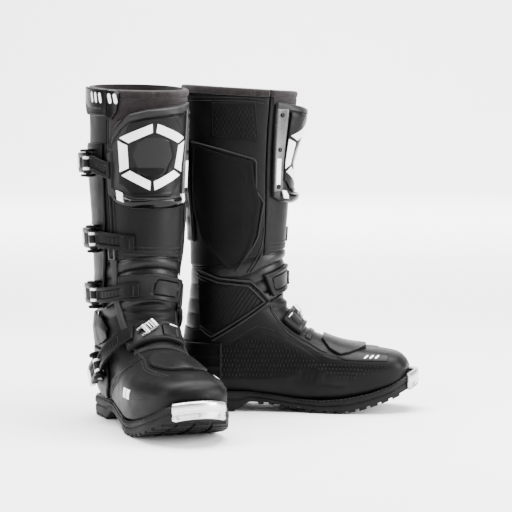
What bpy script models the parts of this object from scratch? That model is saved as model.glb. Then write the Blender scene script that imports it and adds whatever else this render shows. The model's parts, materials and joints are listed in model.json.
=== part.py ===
"""A pair of off-road riding boots: sole, upper, hinged shin flap, straps and buckle levers.

One boot is drawn once, as the left boot, in its own pattern frame: x runs to the toe, +y to the
outer (lateral) side, z up, in millimetres, with x = 0 on the middle of the shaft. The right boot
is the same pattern with y turned round. Every piece is laid on one body shape, the skin, at a
stated height above it, so neighbours keep their clearances when the skin changes.
"""

import math

import bmesh
import bpy
from mathutils import Matrix, Vector

MM = 0.001

# Overall sizes. The pattern below is drawn at the base sizes and graded to these.
SOLE_LENGTH = 300.0
BOOT_HEIGHT = 419.0
BALL_WIDTH = 108.0
BASE_SIZES = (300.0, 108.0, 419.0)

# How the pair stands: the right boot's place from the left one, and the turn of its toe.
RIGHT_PLACE = (-121.0, -101.0)
RIGHT_TURN = -67.5

# Thicknesses and clearances.
UPPER_THICKNESS = 4.0
GUARD_THICKNESS = 2.6
GUARD_LIFT = 0.9
ANKLE_GUARD_LIFT = 3.0
COUNTER_EXTRA_LIFT = 0.6
COLLAR_THICKNESS = 5.6
COLLAR_PROUD = 0.6
BELLOWS_THICKNESS = 2.5
SOLE_GAP = 1.3
STACK_GAP = 0.7
RIM_WIDTH = 9.0
POCKET_DEPTH = 7.0
SHANK_THICKNESS = 1.6
SHANK_WIDTH = 24.0
INSOLE_THICKNESS = 3.4
TOE_GUARD_THICKNESS = 3.2

# Buckles: a lever turns on a pin between two round ears.
PIN_RADIUS = 2.2
PIN_CLEARANCE = 0.5
PIN_LIFT = 10.5
EAR_RADIUS = 8.6
EAR_THICKNESS = 3.0
LEVER_WIDTH = 26.0
LEVER_THICKNESS = 8.4
LEVER_LENGTH = 42.0
LEVER_TIP_FLARE = 3.0
KNUCKLE_RADIUS = 5.2
EAR_CLEARANCE = 0.8
STRAP_WIDTH = 20.0
STRAP_THICKNESS = 3.4
STRAP_GAP = 1.2
# How far each strap's anchor lies above its buckle, along the boot.
STRAP_LEADS = {"strap_1": -8.0, "strap_2": -4.0, "strap_3": 9.0}
# Ankle saddle: angles of its anchored end at its lower and upper edge, angle of its free end, and the
# heights of the two edges by angle.
SADDLE_ANCHOR = (-40.0, -55.0)
SADDLE_END = 46.0
SADDLE_LOW = ((-60, 147), (-40, 148), (-20, 151), (0, 155), (46, 153))
SADDLE_HIGH = ((-60, 175), (-40, 180), (-20, 185), (0, 188), (36, 186), (46, 184))

# The skin, one row for each loop round the boot from the toe to the collar: front point x and z,
# back point x and z, half width, middle y, and how square the front and back halves are.
STATIONS = (
    (219, 58, 216, 46, 10, -8.0, 2.2, 3.0),
    (214, 67, 207, 38, 31, -7.5, 2.3, 5.0),
    (202, 75, 192, 31, 42, -6.0, 2.5, 6.0),
    (172, 80, 165, 22, 50, -3.0, 2.5, 6.0),
    (140, 84, 134, 16, 53, 0.0, 2.4, 6.0),
    (116, 91, 100, 14, 52, 1.0, 2.3, 6.0),
    (92, 101, 60, 17, 48, 1.0, 2.2, 6.0),
    (70, 119, 8, 22, 46, 0.0, 2.2, 5.0),
    (57, 142, -50, 25, 47, 0.0, 2.2, 3.6),
    (54, 166, -75, 60, 47.5, 0.0, 2.2, 2.4),
    (55, 190, -72, 115, 48.5, 0.0, 2.2, 2.3),
    (58, 214, -66, 170, 50.5, 0.0, 2.2, 2.3),
    (61, 255, -67, 240, 53.5, 0.0, 2.2, 2.3),
    (64, 310, -73, 305, 57, 0.0, 2.2, 2.3),
    (67, 360, -75.5, 362, 58, 0.0, 2.2, 2.3),
    (72, 410, -75, 419, 58.5, 0.0, 2.2, 2.3),
)
TOE_START = 0.35
FOOT_TOP = (8.3, 9.85)
CUFF_BOTTOM = (10.8, 11.25)
COLLAR_SEAM = 14.74
SEAM_STEP = 0.035

# The flap's edges round the shaft, in degrees from the front: lateral opening, medial hinge.
FLAP_EDGE = 60.0
FLAP_HINGE = -56.0
EDGE_STEP = 1.2

# Sole: x, top and x, bottom, and the half width between heel and ball.
SOLE_TOP = ((-73, 24), (13, 24), (51, 19), (77, 15), (103, 14), (135, 17), (167, 24), (193, 33), (212, 44), (228, 50))
SOLE_BOTTOM = ((-73, 0), (-3, 0), (13, 10), (39, 9), (64, 5), (103, 0), (135, 0), (154, 4), (180, 12), (199, 19),
               (216, 27), (228, 33))
SOLE_HALF = ((-45, 45), (20, 42), (80, 48), (115, 54), (150, 54))
SOLE_X = (-72.6, -70, -64, -55, -45, -20, -3, 13, 39, 64, 85, 103, 119, 135, 154, 168, 180, 192, 203, 212, 219, 224, 226.7)
SOLE_TIP = 227.0
SOLE_HEEL = -73.0
TOE_SPRING_START = 150.0
HEEL_ROUND_START = -45.0
SOLE_MIDDLE = -4.0

# Buckle places on the lateral side: x, z of the pin and the direction of the closed lever.
LEVERS = {
    "lever_1": (3.0, 322.0, -1.0, 0.0, 110.0, "cuff"),
    "lever_2": (8.0, 229.0, -1.0, 0.0, 100.0, "cuff"),
    "lever_3": (0.0, 159.0, -1.0, 0.0, 105.0, "cuff"),
    "lever_4": (8.0, 70.0, -0.87, -0.5, 190.0, "foot"),
}

# Front edge of the heel counter on the lateral side: z, x.
COUNTER_FRONT = ((30, 10), (45, 25), (60, 26), (75, 21), (89, 9))

COLOURS = {
    "rubber_black": ((0.012, 0.012, 0.013), 0.75, 0.0),
    "steel": ((0.55, 0.55, 0.57), 0.35, 1.0),
    "board": ((0.10, 0.09, 0.08), 0.8, 0.0),
    "leather_black": ((0.022, 0.021, 0.022), 0.5, 0.0),
    "leather_grey": ((0.085, 0.08, 0.085), 0.5, 0.0),
    "guard_grey": ((0.10, 0.095, 0.10), 0.45, 0.0),
    "guard_black": ((0.018, 0.018, 0.019), 0.4, 0.0),
    "silver": ((0.62, 0.62, 0.63), 0.3, 0.9),
    "gloss_black": ((0.01, 0.01, 0.01), 0.15, 0.0),
    "bellows": ((0.03, 0.03, 0.032), 0.65, 0.0),
    "neoprene": ((0.035, 0.022, 0.024), 0.9, 0.0),
}


def blend(low, high, share):
    return low + (high - low) * share


def smooth(share):
    share = min(max(share, 0.0), 1.0)
    return share * share * (3.0 - 2.0 * share)


def table(rows, x):
    """Linear reading of a two-column table."""
    for (x0, y0), (x1, y1) in zip(rows, rows[1:]):
        if x <= x1:
            return blend(y0, y1, min(max((x - x0) / (x1 - x0), 0.0), 1.0))
    return rows[-1][1]


def grade(x, y, z):
    """Pattern point to the ordered size."""
    factors = (SOLE_LENGTH / BASE_SIZES[0], BALL_WIDTH / BASE_SIZES[1], BOOT_HEIGHT / BASE_SIZES[2])
    return Vector((x * factors[0], y * factors[1], z * factors[2]))


def station(k):
    """Catmull-Rom reading of the skin's rows."""
    last = len(STATIONS) - 1
    k = min(max(k, 0.0), float(last))
    i = min(int(k), last - 1)
    f = k - i
    rows = [STATIONS[min(max(j, 0), last)] for j in (i - 1, i, i + 1, i + 2)]
    return [
        0.5 * (2 * b + (c - a) * f + (2 * a - 5 * b + 4 * c - d) * f * f + (3 * b - a - 3 * c + d) * f ** 3)
        for a, b, c, d in zip(*rows)
    ]


def power(value, exponent):
    return math.copysign(abs(value) ** exponent, value)


def pattern_point(k, angle):
    """A point of the skin: angle 0 is the front or top, 90 lateral, 180 the back or bottom, -90 medial."""
    front_x, front_z, back_x, back_z, half, middle, square_front, square_back = station(k)
    turn = math.radians(angle)
    square = square_front if math.cos(turn) >= 0 else square_back
    along = power(math.cos(turn), 2.0 / square)
    x = (front_x + back_x) / 2 + (front_x - back_x) / 2 * along
    z = (front_z + back_z) / 2 + (front_z - back_z) / 2 * along
    return x, middle + half * power(math.sin(turn), 2.0 / square), z


def skin(k, angle):
    return grade(*pattern_point(k, angle))


def normal(k, angle):
    step_k, step_angle = 0.04, 1.5
    along = skin(k + step_k, angle) - skin(k - step_k, angle)
    across = skin(k, angle + step_angle) - skin(k, angle - step_angle)
    return across.cross(along).normalized()


def at(k, angle, lift):
    """The point at a height above the skin."""
    return skin(k, angle) + normal(k, angle) * lift


def seat(x, z, side=1):
    """Station and angle of the skin point seen at pattern x, z from one side (1 lateral, -1 medial)."""
    def miss(k):
        front_x, front_z, back_x, back_z = station(k)[:4]
        return (front_x - back_x) * (z - back_z) - (front_z - back_z) * (x - back_x)

    low, high = 0.0, float(len(STATIONS) - 1)
    for _ in range(40):
        middle = (low + high) / 2
        if miss(middle) > 0:
            low = middle
        else:
            high = middle
    front_x, front_z, back_x, back_z, _, _, square_front, square_back = station(low)
    span = Vector((front_x - back_x, front_z - back_z))
    centre = Vector(((front_x + back_x) / 2, (front_z + back_z) / 2))
    along = 2 * (Vector((x, z)) - centre).dot(span) / span.length_squared
    along = min(max(along, -1.0), 1.0)
    square = square_front if along >= 0 else square_back
    return low, side * math.degrees(math.acos(power(along, square / 2.0)))


def ring(angle, z):
    """Station at which the skin passes a pattern height, above the ball of the foot."""
    low, high = 5.5, float(len(STATIONS) - 1)
    for _ in range(40):
        middle = (low + high) / 2
        if pattern_point(middle, angle)[2] < z:
            low = middle
        else:
            high = middle
    return low


def round_to_back(angle):
    return (1.0 - math.cos(math.radians(angle))) / 2.0


def foot_top(angle):
    return blend(FOOT_TOP[0], FOOT_TOP[1], round_to_back(angle))


def cuff_bottom(angle):
    return blend(CUFF_BOTTOM[0], CUFF_BOTTOM[1], round_to_back(angle))


def sheet(columns, rows, inner, outer):
    """A curved sheet from its inner and outer faces, each a function of u and v from 0 to 1."""
    mesh = bmesh.new()
    u_layer = mesh.verts.layers.float.new("u")
    v_layer = mesh.verts.layers.float.new("v")
    bmesh.ops.create_grid(mesh, x_segments=columns, y_segments=rows, size=0.5)
    for vertex in mesh.verts:
        vertex[u_layer] = vertex.co.x + 0.5
        vertex[v_layer] = vertex.co.y + 0.5
        vertex.co = inner(vertex[u_layer], vertex[v_layer])
    bmesh.ops.remove_doubles(mesh, verts=mesh.verts[:], dist=0.01)
    grown = bmesh.ops.extrude_face_region(mesh, geom=mesh.faces[:])
    for vertex in grown["geom"]:
        if isinstance(vertex, bmesh.types.BMVert):
            vertex.co = outer(vertex[u_layer], vertex[v_layer])
    bmesh.ops.recalc_face_normals(mesh, faces=mesh.faces[:])
    return mesh


def skin_sheet(columns, rows, place, low, high):
    """A sheet on the skin: place gives station and angle, low and high the heights of its two faces."""
    def level(value, u, v):
        return value(u, v) if callable(value) else value

    return sheet(
        columns,
        rows,
        lambda u, v: at(*place(u, v), level(low, u, v)),
        lambda u, v: at(*place(u, v), level(high, u, v)),
    )


def between(ends):
    """Place function for a patch whose rows run between pairs of (station, angle) ends."""
    def place(u, v):
        spot = v * (len(ends) - 1)
        i = min(int(spot), len(ends) - 2)
        share = spot - i
        left = [blend(a, b, share) for a, b in zip(ends[i][0], ends[i + 1][0])]
        right = [blend(a, b, share) for a, b in zip(ends[i][1], ends[i + 1][1])]
        return blend(left[0], right[0], u), blend(left[1], right[1], u)

    return place


def side_patch(pairs, side):
    return between([(seat(*a, side), seat(*b, side)) for a, b in pairs])


def band(angle_0, angle_1, low_z, high_z):
    """Place function for a band round the front between two heights."""
    def place(u, v):
        angle = blend(angle_0, angle_1, u)
        return ring(angle, blend(low_z, high_z, v)), angle

    return place


def loft(rings):
    """A solid through rings with the same number of points."""
    mesh = bmesh.new()
    loops = [[mesh.verts.new(point) for point in points] for points in rings]
    count = len(loops[0])
    for a, b in zip(loops, loops[1:]):
        for i in range(count):
            j = (i + 1) % count
            mesh.faces.new((a[i], a[j], b[j], b[i]))
    mesh.faces.new(loops[0][::-1])
    mesh.faces.new(loops[-1])
    bmesh.ops.recalc_face_normals(mesh, faces=mesh.faces[:])
    return mesh


def arc(centre, radius, start, end, steps):
    return [
        (centre[0] + radius * math.cos(math.radians(blend(start, end, i / steps))),
         centre[1] + radius * math.sin(math.radians(blend(start, end, i / steps))))
        for i in range(steps + 1)
    ]


def extruded(loops, origin, axis_1, axis_2, depth):
    """A flat outline with holes, drawn on two axes and extruded both ways from the origin."""
    mesh = bmesh.new()
    depth_axis = axis_1.cross(axis_2).normalized() * depth
    edges = []
    for points in loops:
        corners = [mesh.verts.new(origin + axis_1 * a + axis_2 * b - depth_axis / 2) for a, b in points]
        edges += [mesh.edges.new((corners[i - 1], corners[i])) for i in range(len(corners))]
    bmesh.ops.triangle_fill(mesh, use_beauty=True, edges=edges)
    grown = bmesh.ops.extrude_face_region(mesh, geom=mesh.faces[:])
    moved = [item for item in grown["geom"] if isinstance(item, bmesh.types.BMVert)]
    bmesh.ops.translate(mesh, verts=moved, vec=depth_axis)
    bmesh.ops.recalc_face_normals(mesh, faces=mesh.faces[:])
    return mesh


def turned(profile, origin, axis, steps=12):
    """A turned solid: profile points are (distance along the axis, radius)."""
    mesh = bmesh.new()
    across = axis.orthogonal().normalized()
    corners = [mesh.verts.new(origin + axis * a + across * r) for a, r in profile]
    edges = [mesh.edges.new((a, b)) for a, b in zip(corners, corners[1:])]
    bmesh.ops.spin(mesh, geom=corners + edges, axis=axis, cent=origin, angle=math.tau, steps=steps, use_merge=True)
    bmesh.ops.remove_doubles(mesh, verts=mesh.verts[:], dist=0.001)
    bmesh.ops.recalc_face_normals(mesh, faces=mesh.faces[:])
    return mesh


def joined(meshes):
    """Several closed shapes in one mesh."""
    whole = meshes[0]
    for mesh in meshes[1:]:
        copied = bpy.data.meshes.new("joined")
        mesh.to_mesh(copied)
        mesh.free()
        whole.from_mesh(copied)
        bpy.data.meshes.remove(copied)
    return whole


def material(name):
    """The finish of that name, made the first time it is asked for."""
    found = bpy.data.materials.get(name)
    if found:
        return found
    colour, roughness, metallic = COLOURS[name]
    made = bpy.data.materials.new(name)
    made.use_nodes = True
    shader = made.node_tree.nodes["Principled BSDF"]
    shader.inputs["Base Color"].default_value = (*colour, 1.0)
    shader.inputs["Roughness"].default_value = roughness
    shader.inputs["Metallic"].default_value = metallic
    made.diffuse_color = (*colour, 1.0)
    return made


class Boot:
    """One boot of the pair: its bodies are empties, and each piece hangs on its body's empty."""

    def __init__(self, prefix, side, place, turn):
        self.prefix = prefix
        self.side = side
        self.frames = {}
        empty = bpy.data.objects.new(prefix + "_foot", None)
        empty.location = Vector((*place, 0.0)) * MM
        empty.rotation_euler.z = math.radians(turn)
        PARTS.objects.link(empty)
        self.frames["foot"] = (empty, Matrix.Identity(4))
        self.root = empty

    def turn_side(self, point):
        return Vector((point.x, point.y * self.side, point.z))

    def hinge(self, name, parent, origin, start, outward):
        """A body on a hinge that turns from the start direction towards the outward one."""
        axis = self.turn_side(start).cross(self.turn_side(outward)).normalized()
        frame = Matrix.Translation(self.turn_side(origin) * MM) @ axis.to_track_quat("Z", "Y").to_matrix().to_4x4()
        empty = bpy.data.objects.new(f"{self.prefix}_{name}_axis", None)
        empty.empty_display_size = 0.02
        parent_empty, parent_frame = self.frames[parent]
        empty.parent = parent_empty
        empty.matrix_basis = parent_frame.inverted() @ frame
        PARTS.objects.link(empty)
        self.frames[name] = (empty, frame)

    def add(self, name, mesh, finish, body="foot", collection=None):
        """Names a solid, turns it to this boot's side and hangs it on its body."""
        empty, frame = self.frames[body]
        mirror = Matrix.Diagonal((MM, MM * self.side, MM, 1.0))
        bmesh.ops.transform(mesh, matrix=frame.inverted() @ mirror, verts=mesh.verts[:])
        if self.side < 0:
            bmesh.ops.reverse_faces(mesh, faces=mesh.faces[:])
        data = bpy.data.meshes.new(f"{self.prefix}_{name}")
        mesh.to_mesh(data)
        mesh.free()
        data.materials.append(material(finish))
        data.shade_smooth()
        data.set_sharp_from_angle(angle=math.radians(35))
        made = bpy.data.objects.new(f"{self.prefix}_{name}", data)
        made.parent = empty
        (collection or PARTS).objects.link(made)
        return made

    def combine(self, piece, name, mesh, operation, body="foot"):
        """Joins a shape to a piece, or cuts it out of the piece."""
        tool = self.add(name, mesh, "board", body, TOOLS)
        tool.hide_render = True
        tool.display_type = "WIRE"
        modifier = piece.modifiers.new(name, "BOOLEAN")
        modifier.operation = operation
        modifier.solver = "EXACT"
        modifier.object = tool


# Sole unit.


def sole_half(x):
    """Half width of the sole at pattern x: rounded at both ends."""
    if x > TOE_SPRING_START:
        share = (x - TOE_SPRING_START) / (SOLE_TIP - TOE_SPRING_START)
        return SOLE_HALF[-1][1] * (1.0 - share ** 2.3) ** (1 / 2.2)
    if x < HEEL_ROUND_START:
        share = (HEEL_ROUND_START - x) / (HEEL_ROUND_START - SOLE_HEEL)
        return SOLE_HALF[0][1] * (1.0 - share ** 2.2) ** (1 / 2.2)
    return table(SOLE_HALF, x)


def sole_middle(x):
    return SOLE_MIDDLE * smooth((x - 80.0) / 90.0)


def sole_slice(x, inset, bottom, top, chamfer):
    """One ring of a sole layer; bottom and top are pattern heights."""
    half = (sole_half(x) - inset / (BALL_WIDTH / BASE_SIZES[1]))
    middle = sole_middle(x)
    edge = min(chamfer, half / 2)
    return [
        grade(x, middle - half + edge, bottom), grade(x, middle + half - edge, bottom),
        grade(x, middle + half, bottom + edge), grade(x, middle + half, top),
        grade(x, middle - half, top), grade(x, middle - half, bottom + edge),
    ]


def pocket_floor(x):
    return table(SOLE_TOP, x) - POCKET_DEPTH


def make_outsole(boot):
    rings = [sole_slice(x, 0.0, table(SOLE_BOTTOM, x), table(SOLE_TOP, x), 2.5) for x in SOLE_X]
    outsole = boot.add("outsole", loft(rings), "rubber_black")
    spots = [x for x in SOLE_X if -64 <= x <= 212]
    rings = [sole_slice(x, RIM_WIDTH, pocket_floor(x), table(SOLE_TOP, x) + 4.0, 0.0) for x in spots]
    boot.combine(outsole, "sole_pocket", loft(rings), "DIFFERENCE")


def make_shank(boot):
    spots = (-45, -20, 13, 39, 64, 85)
    rings = []
    for x in spots:
        low = pocket_floor(x) + 0.35
        rings.append([grade(x, y, z) for y, z in (
            (-SHANK_WIDTH / 2, low), (SHANK_WIDTH / 2, low),
            (SHANK_WIDTH / 2, low + SHANK_THICKNESS), (-SHANK_WIDTH / 2, low + SHANK_THICKNESS))])
    boot.add("shank", loft(rings), "steel")


def make_insole(boot):
    rings = []
    for x in (-61, -55, -45, -20, 13, 39, 64, 85, 103, 119, 135, 154, 168, 180, 192, 203, 208):
        low = pocket_floor(x) + SHANK_THICKNESS + 0.75
        rings.append(sole_slice(x, RIM_WIDTH + 1.0, low, low + INSOLE_THICKNESS, 0.0))
    boot.add("insole", loft(rings), "board")


def make_toe_guard(boot):
    """Metal cap that wraps the front of the sole and hooks over its top edge."""
    half_angle = 36.0

    def spot(u, v, grown):
        turn = math.radians(blend(-half_angle, half_angle, u))
        reach = SOLE_TIP - TOE_SPRING_START
        half = SOLE_HALF[-1][1]
        x = TOE_SPRING_START + reach * power(math.cos(turn), 2 / 2.3)
        y = sole_middle(x) + half * power(math.sin(turn), 2 / 2.2)
        out = Vector((math.cos(turn) / reach, math.sin(turn) / half, 0.0)).normalized()
        top = table(SOLE_TOP, x)
        low = table(SOLE_BOTTOM, x) + 1.5
        rows = ((STACK_GAP, low), (STACK_GAP, blend(low, top, 0.55)), (STACK_GAP, top + 0.9), (-1.6, top + 1.6))
        place = v * 3
        i = min(int(place), 2)
        offset = blend(rows[i][0], rows[i + 1][0], place - i)
        z = blend(rows[i][1], rows[i + 1][1], place - i)
        if grown:
            offset += TOE_GUARD_THICKNESS * (1.0 if v < 0.9 else 0.25)
            z += 0.0 if v < 0.5 else TOE_GUARD_THICKNESS * (0.6 if v < 0.9 else 1.0)
        return grade(x, y, z) + out * offset

    guard = sheet(14, 3, lambda u, v: spot(u, v, False), lambda u, v: spot(u, v, True))
    boot.add("toe_guard", guard, "silver")


# Upper.


def shell_reach(k):
    """Angle at which the upper's side meets the sole's top."""
    low, high = 95.0, 180.0

    def clearance(angle):
        x, _, z = pattern_point(k, angle)
        return z - table(SOLE_TOP, x) - SOLE_GAP

    if clearance(high) >= 0:
        return high
    for _ in range(30):
        middle = (low + high) / 2
        if clearance(middle) > 0:
            low = middle
        else:
            high = middle
    return low


def make_foot_shell(boot):
    """Upper of the foot: open at the sole and at the ankle, closed round the heel and the toe."""
    def place(u, v):
        across = 2 * u - 1
        k = blend(TOE_START, foot_top(180 * across), v)
        return k, across * shell_reach(k)

    mesh = bmesh.new()
    u_layer = mesh.verts.layers.float.new("u")
    v_layer = mesh.verts.layers.float.new("v")
    bmesh.ops.create_grid(mesh, x_segments=22, y_segments=14, size=0.5)
    for vertex in mesh.verts:
        vertex[u_layer] = vertex.co.x + 0.5
        vertex[v_layer] = vertex.co.y + 0.5
    toe_row = sorted((v for v in mesh.verts if v[v_layer] < 0.01), key=lambda v: v[u_layer])
    mesh.faces.new(toe_row)
    for vertex in mesh.verts:
        vertex.co = at(*place(vertex[u_layer], vertex[v_layer]), -UPPER_THICKNESS)
    bmesh.ops.remove_doubles(mesh, verts=mesh.verts[:], dist=0.01)
    grown = bmesh.ops.extrude_face_region(mesh, geom=mesh.faces[:])
    for vertex in grown["geom"]:
        if isinstance(vertex, bmesh.types.BMVert):
            vertex.co = at(*place(vertex[u_layer], vertex[v_layer]), 0.0)
    bmesh.ops.recalc_face_normals(mesh, faces=mesh.faces[:])
    boot.add("foot_shell", mesh, "leather_grey")


def make_ankle_bellows(boot):
    """Soft flex zone that joins the foot and the shaft."""
    def place(u, v):
        angle = 360.0 * u
        return blend(foot_top(angle) + SEAM_STEP, cuff_bottom(angle) - SEAM_STEP, v), angle

    mesh = skin_sheet(24, 5, place, -BELLOWS_THICKNESS - 0.8, -0.8)
    boot.add("ankle_bellows", mesh, "bellows", "cuff")


def shaft_place(first, last, bottom, top):
    def place(u, v):
        angle = blend(first, last, u)
        return blend(bottom(angle), top, v), angle

    return place


def make_shaft(boot):
    rear = (FLAP_EDGE + EDGE_STEP, 360.0 + FLAP_HINGE - EDGE_STEP)
    front = (FLAP_HINGE, FLAP_EDGE)
    top = COLLAR_SEAM - SEAM_STEP / 2
    shaft = skin_sheet(18, 7, shaft_place(*rear, cuff_bottom, top), -UPPER_THICKNESS, 0.0)
    boot.add("shaft_shell", shaft, "leather_grey", "cuff")
    panel = skin_sheet(10, 7, shaft_place(*front, cuff_bottom, top), -UPPER_THICKNESS, 0.0)
    boot.add("shin_panel", panel, "leather_grey", "shin_flap")

    def collar_bottom(_):
        return COLLAR_SEAM

    collar_top = float(len(STATIONS) - 1)
    for name, ends, columns, body in (("collar_rear", rear, 18, "cuff"), ("collar_front", front, 10, "shin_flap")):
        place = shaft_place(*ends, collar_bottom, collar_top)
        collar = skin_sheet(columns, 1, place, COLLAR_PROUD - COLLAR_THICKNESS, COLLAR_PROUD)
        boot.add(name, collar, "neoprene", body)


def make_guards(boot):
    """Moulded guards on the upper."""
    low, high = GUARD_LIFT, GUARD_LIFT + GUARD_THICKNESS
    ankle_high = ANKLE_GUARD_LIFT + GUARD_THICKNESS
    heat = side_patch((((-54, 343), (18, 322)), ((-58, 305), (20, 302)), ((-57, 262), (28, 268)),
                       ((-48, 226), (23, 228)), ((-30, 200), (18, 212)), ((-12, 184), (2, 186))), -1)
    boot.add("heat_guard", skin_sheet(5, 10, heat, low, high), "leather_black", "cuff")

    calf = band(140.0, 214.0, 218.0, 348.0)
    boot.add("calf_guard", skin_sheet(6, 5, calf, low, high), "guard_grey", "cuff")

    medial = side_patch((((-50, 182), (-48, 106)), ((-26, 173), (-30, 93)), ((0, 171), (-2, 111)),
                         ((15, 170), (14, 122)), ((26, 157), (25, 130)), ((37, 143), (37, 139))), -1)
    boot.add("ankle_guard_medial", skin_sheet(4, 8, medial, ANKLE_GUARD_LIFT, ankle_high), "guard_grey")

    lateral = side_patch((((-52, 132), (-50, 92)), ((-22, 134), (-22, 94)), ((4, 128), (4, 99)),
                          ((18, 116), (18, 106))), 1)
    boot.add("ankle_guard_lateral", skin_sheet(4, 6, lateral, ANKLE_GUARD_LIFT, ankle_high), "guard_grey")

    instep = between([((3.3, -14), (3.3, 8)), ((3.55, -30), (3.55, 15)), ((3.95, -46), (3.95, 20)),
                      ((4.35, -54), (4.35, 24)), ((4.95, -46), (4.95, 22)), ((5.4, -26), (5.4, 12))])
    boot.add("instep_guard", skin_sheet(8, 6, instep, low, high + 0.6), "guard_grey")

    flap = between([((14.35, 58), (14.35, 96)), ((14.6, 58), (14.55, 112)), ((14.97, 58), (14.97, 112))])
    boot.add("collar_flap", skin_sheet(6, 2, flap, 1.5, 3.6), "guard_black", "collar_flap")


# Buckles.


class Buckle:
    """Pin, ears and lever of one buckle, placed on the lateral side."""

    def __init__(self, name):
        x, z, run_x, run_z, self.bend, self.body = LEVERS[name]
        spot = seat(x, z)
        ahead = at(*seat(x + 4 * run_x, z + 4 * run_z), PIN_LIFT)
        self.origin = at(*spot, PIN_LIFT)
        self.out = normal(*spot)
        self.along = ahead - self.origin
        self.along = (self.along - self.out * self.along.dot(self.out)).normalized()
        self.pin = self.along.cross(self.out).normalized()

    def ears(self):
        """Two round ears and the pin between them, one turned shape."""
        inside = LEVER_WIDTH / 2 + EAR_CLEARANCE
        outside = inside + EAR_THICKNESS
        profile = ((-outside, 0.0), (-outside, EAR_RADIUS), (-inside, EAR_RADIUS), (-inside, PIN_RADIUS),
                   (inside, PIN_RADIUS), (inside, EAR_RADIUS), (outside, EAR_RADIUS), (outside, 0.0))
        return turned(profile, self.origin, self.pin)

    def lever(self):
        """Curved arm with a knuckle bored for the pin."""
        half = LEVER_THICKNESS / 2
        sweep = math.degrees(LEVER_LENGTH / self.bend)
        steps = 5
        outer, inner = [], []
        for i in range(1, steps + 1):
            turn = math.radians(sweep * i / steps)
            flare = LEVER_TIP_FLARE * (i / steps) ** 2
            outer.append(((self.bend + half + flare) * math.sin(turn), (self.bend + half + flare) * math.cos(turn) - self.bend))
            inner.append(((self.bend - half + flare) * math.sin(turn), (self.bend - half + flare) * math.cos(turn) - self.bend))
        knuckle = arc((0.0, 0.0), KNUCKLE_RADIUS, 55.0, 305.0, 10)
        bore = arc((0.0, 0.0), PIN_RADIUS + PIN_CLEARANCE, 0.0, 337.5, 15)
        return extruded((outer[::-1] + knuckle + inner, bore), self.origin, self.along, self.out, LEVER_WIDTH)


def make_buckles(boot, buckles):
    """Panels that carry the ears, and the four levers."""
    low, high = GUARD_LIFT, GUARD_LIFT + GUARD_THICKNESS
    rail_place = side_patch((((-30, 346), (27, 346)), ((-34, 300), (27, 300)), ((-32, 252), (25, 252)),
                             ((-28, 212), (21, 212)), ((-32, 184), (14, 184)), ((-38, 160), (12, 160)),
                             ((-34, 141), (6, 141))), 1)
    rail = boot.add("closure_rail", skin_sheet(5, 12, rail_place, low, high), "guard_grey", "cuff")
    ears = joined([buckles[name].ears() for name in ("lever_1", "lever_2", "lever_3")])
    boot.combine(rail, "rail_ears", ears, "UNION", "cuff")

    def heel_place(u, v):
        z = blend(30.0, 89.0, v)
        first = seat(table(COUNTER_FRONT, z), z)[1]
        last = 360.0 - seat(-22.0, z)[1]
        angle = blend(first, last, u)
        return ring(angle, z), angle

    counter = boot.add("heel_counter", skin_sheet(18, 6, heel_place, low + COUNTER_EXTRA_LIFT, high + COUNTER_EXTRA_LIFT), "guard_black")
    boot.combine(counter, "counter_ears", buckles["lever_4"].ears(), "UNION")
    for name, buckle in buckles.items():
        boot.add(name, buckle.lever(), "guard_grey", name)


# Straps.


def strap_rise(share, low, high):
    """Height of a strap's underside: flat at its anchor, level with the lever's knuckle at its end."""
    return blend(low, high, smooth(share))


def strap_line(name, buckle, share):
    """Height of a strap's middle: its anchor lies above or below the buckle, at share 0."""
    return LEVERS[buckle][1] + STRAP_LEADS[name] * smooth(1.0 - share)


def make_round_strap(boot, name, buckle, first, low, adjuster):
    """A strap that runs round the boot from its anchor angle to the buckle."""
    last = seat(*LEVERS[buckle][:2])[1] - math.degrees((KNUCKLE_RADIUS + STRAP_GAP) / (BALL_WIDTH / 2))
    half = STRAP_WIDTH / 2
    lever_lift = PIN_LIFT - STRAP_THICKNESS / 2

    def place(u, v):
        angle = blend(first, last, u)
        return ring(angle, strap_line(name, buckle, u) + blend(-half, half, v)), angle

    def under(u, _):
        return strap_rise((u - 0.2) / 0.7, low, lever_lift)

    def over(u, v):
        return under(u, v) + STRAP_THICKNESS + (adjuster if u < 0.3 else 0.0)

    boot.add(name, skin_sheet(10, 2, place, under, over), "leather_black", name)


def ankle_saddle_place(u, v):
    """The wide saddle over the front of the ankle; its anchored end follows the ankle guard's edge."""
    angle = blend(blend(*SADDLE_ANCHOR, v), SADDLE_END, u)
    return ring(angle, blend(table(SADDLE_LOW, angle), table(SADDLE_HIGH, angle), v)), angle


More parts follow.
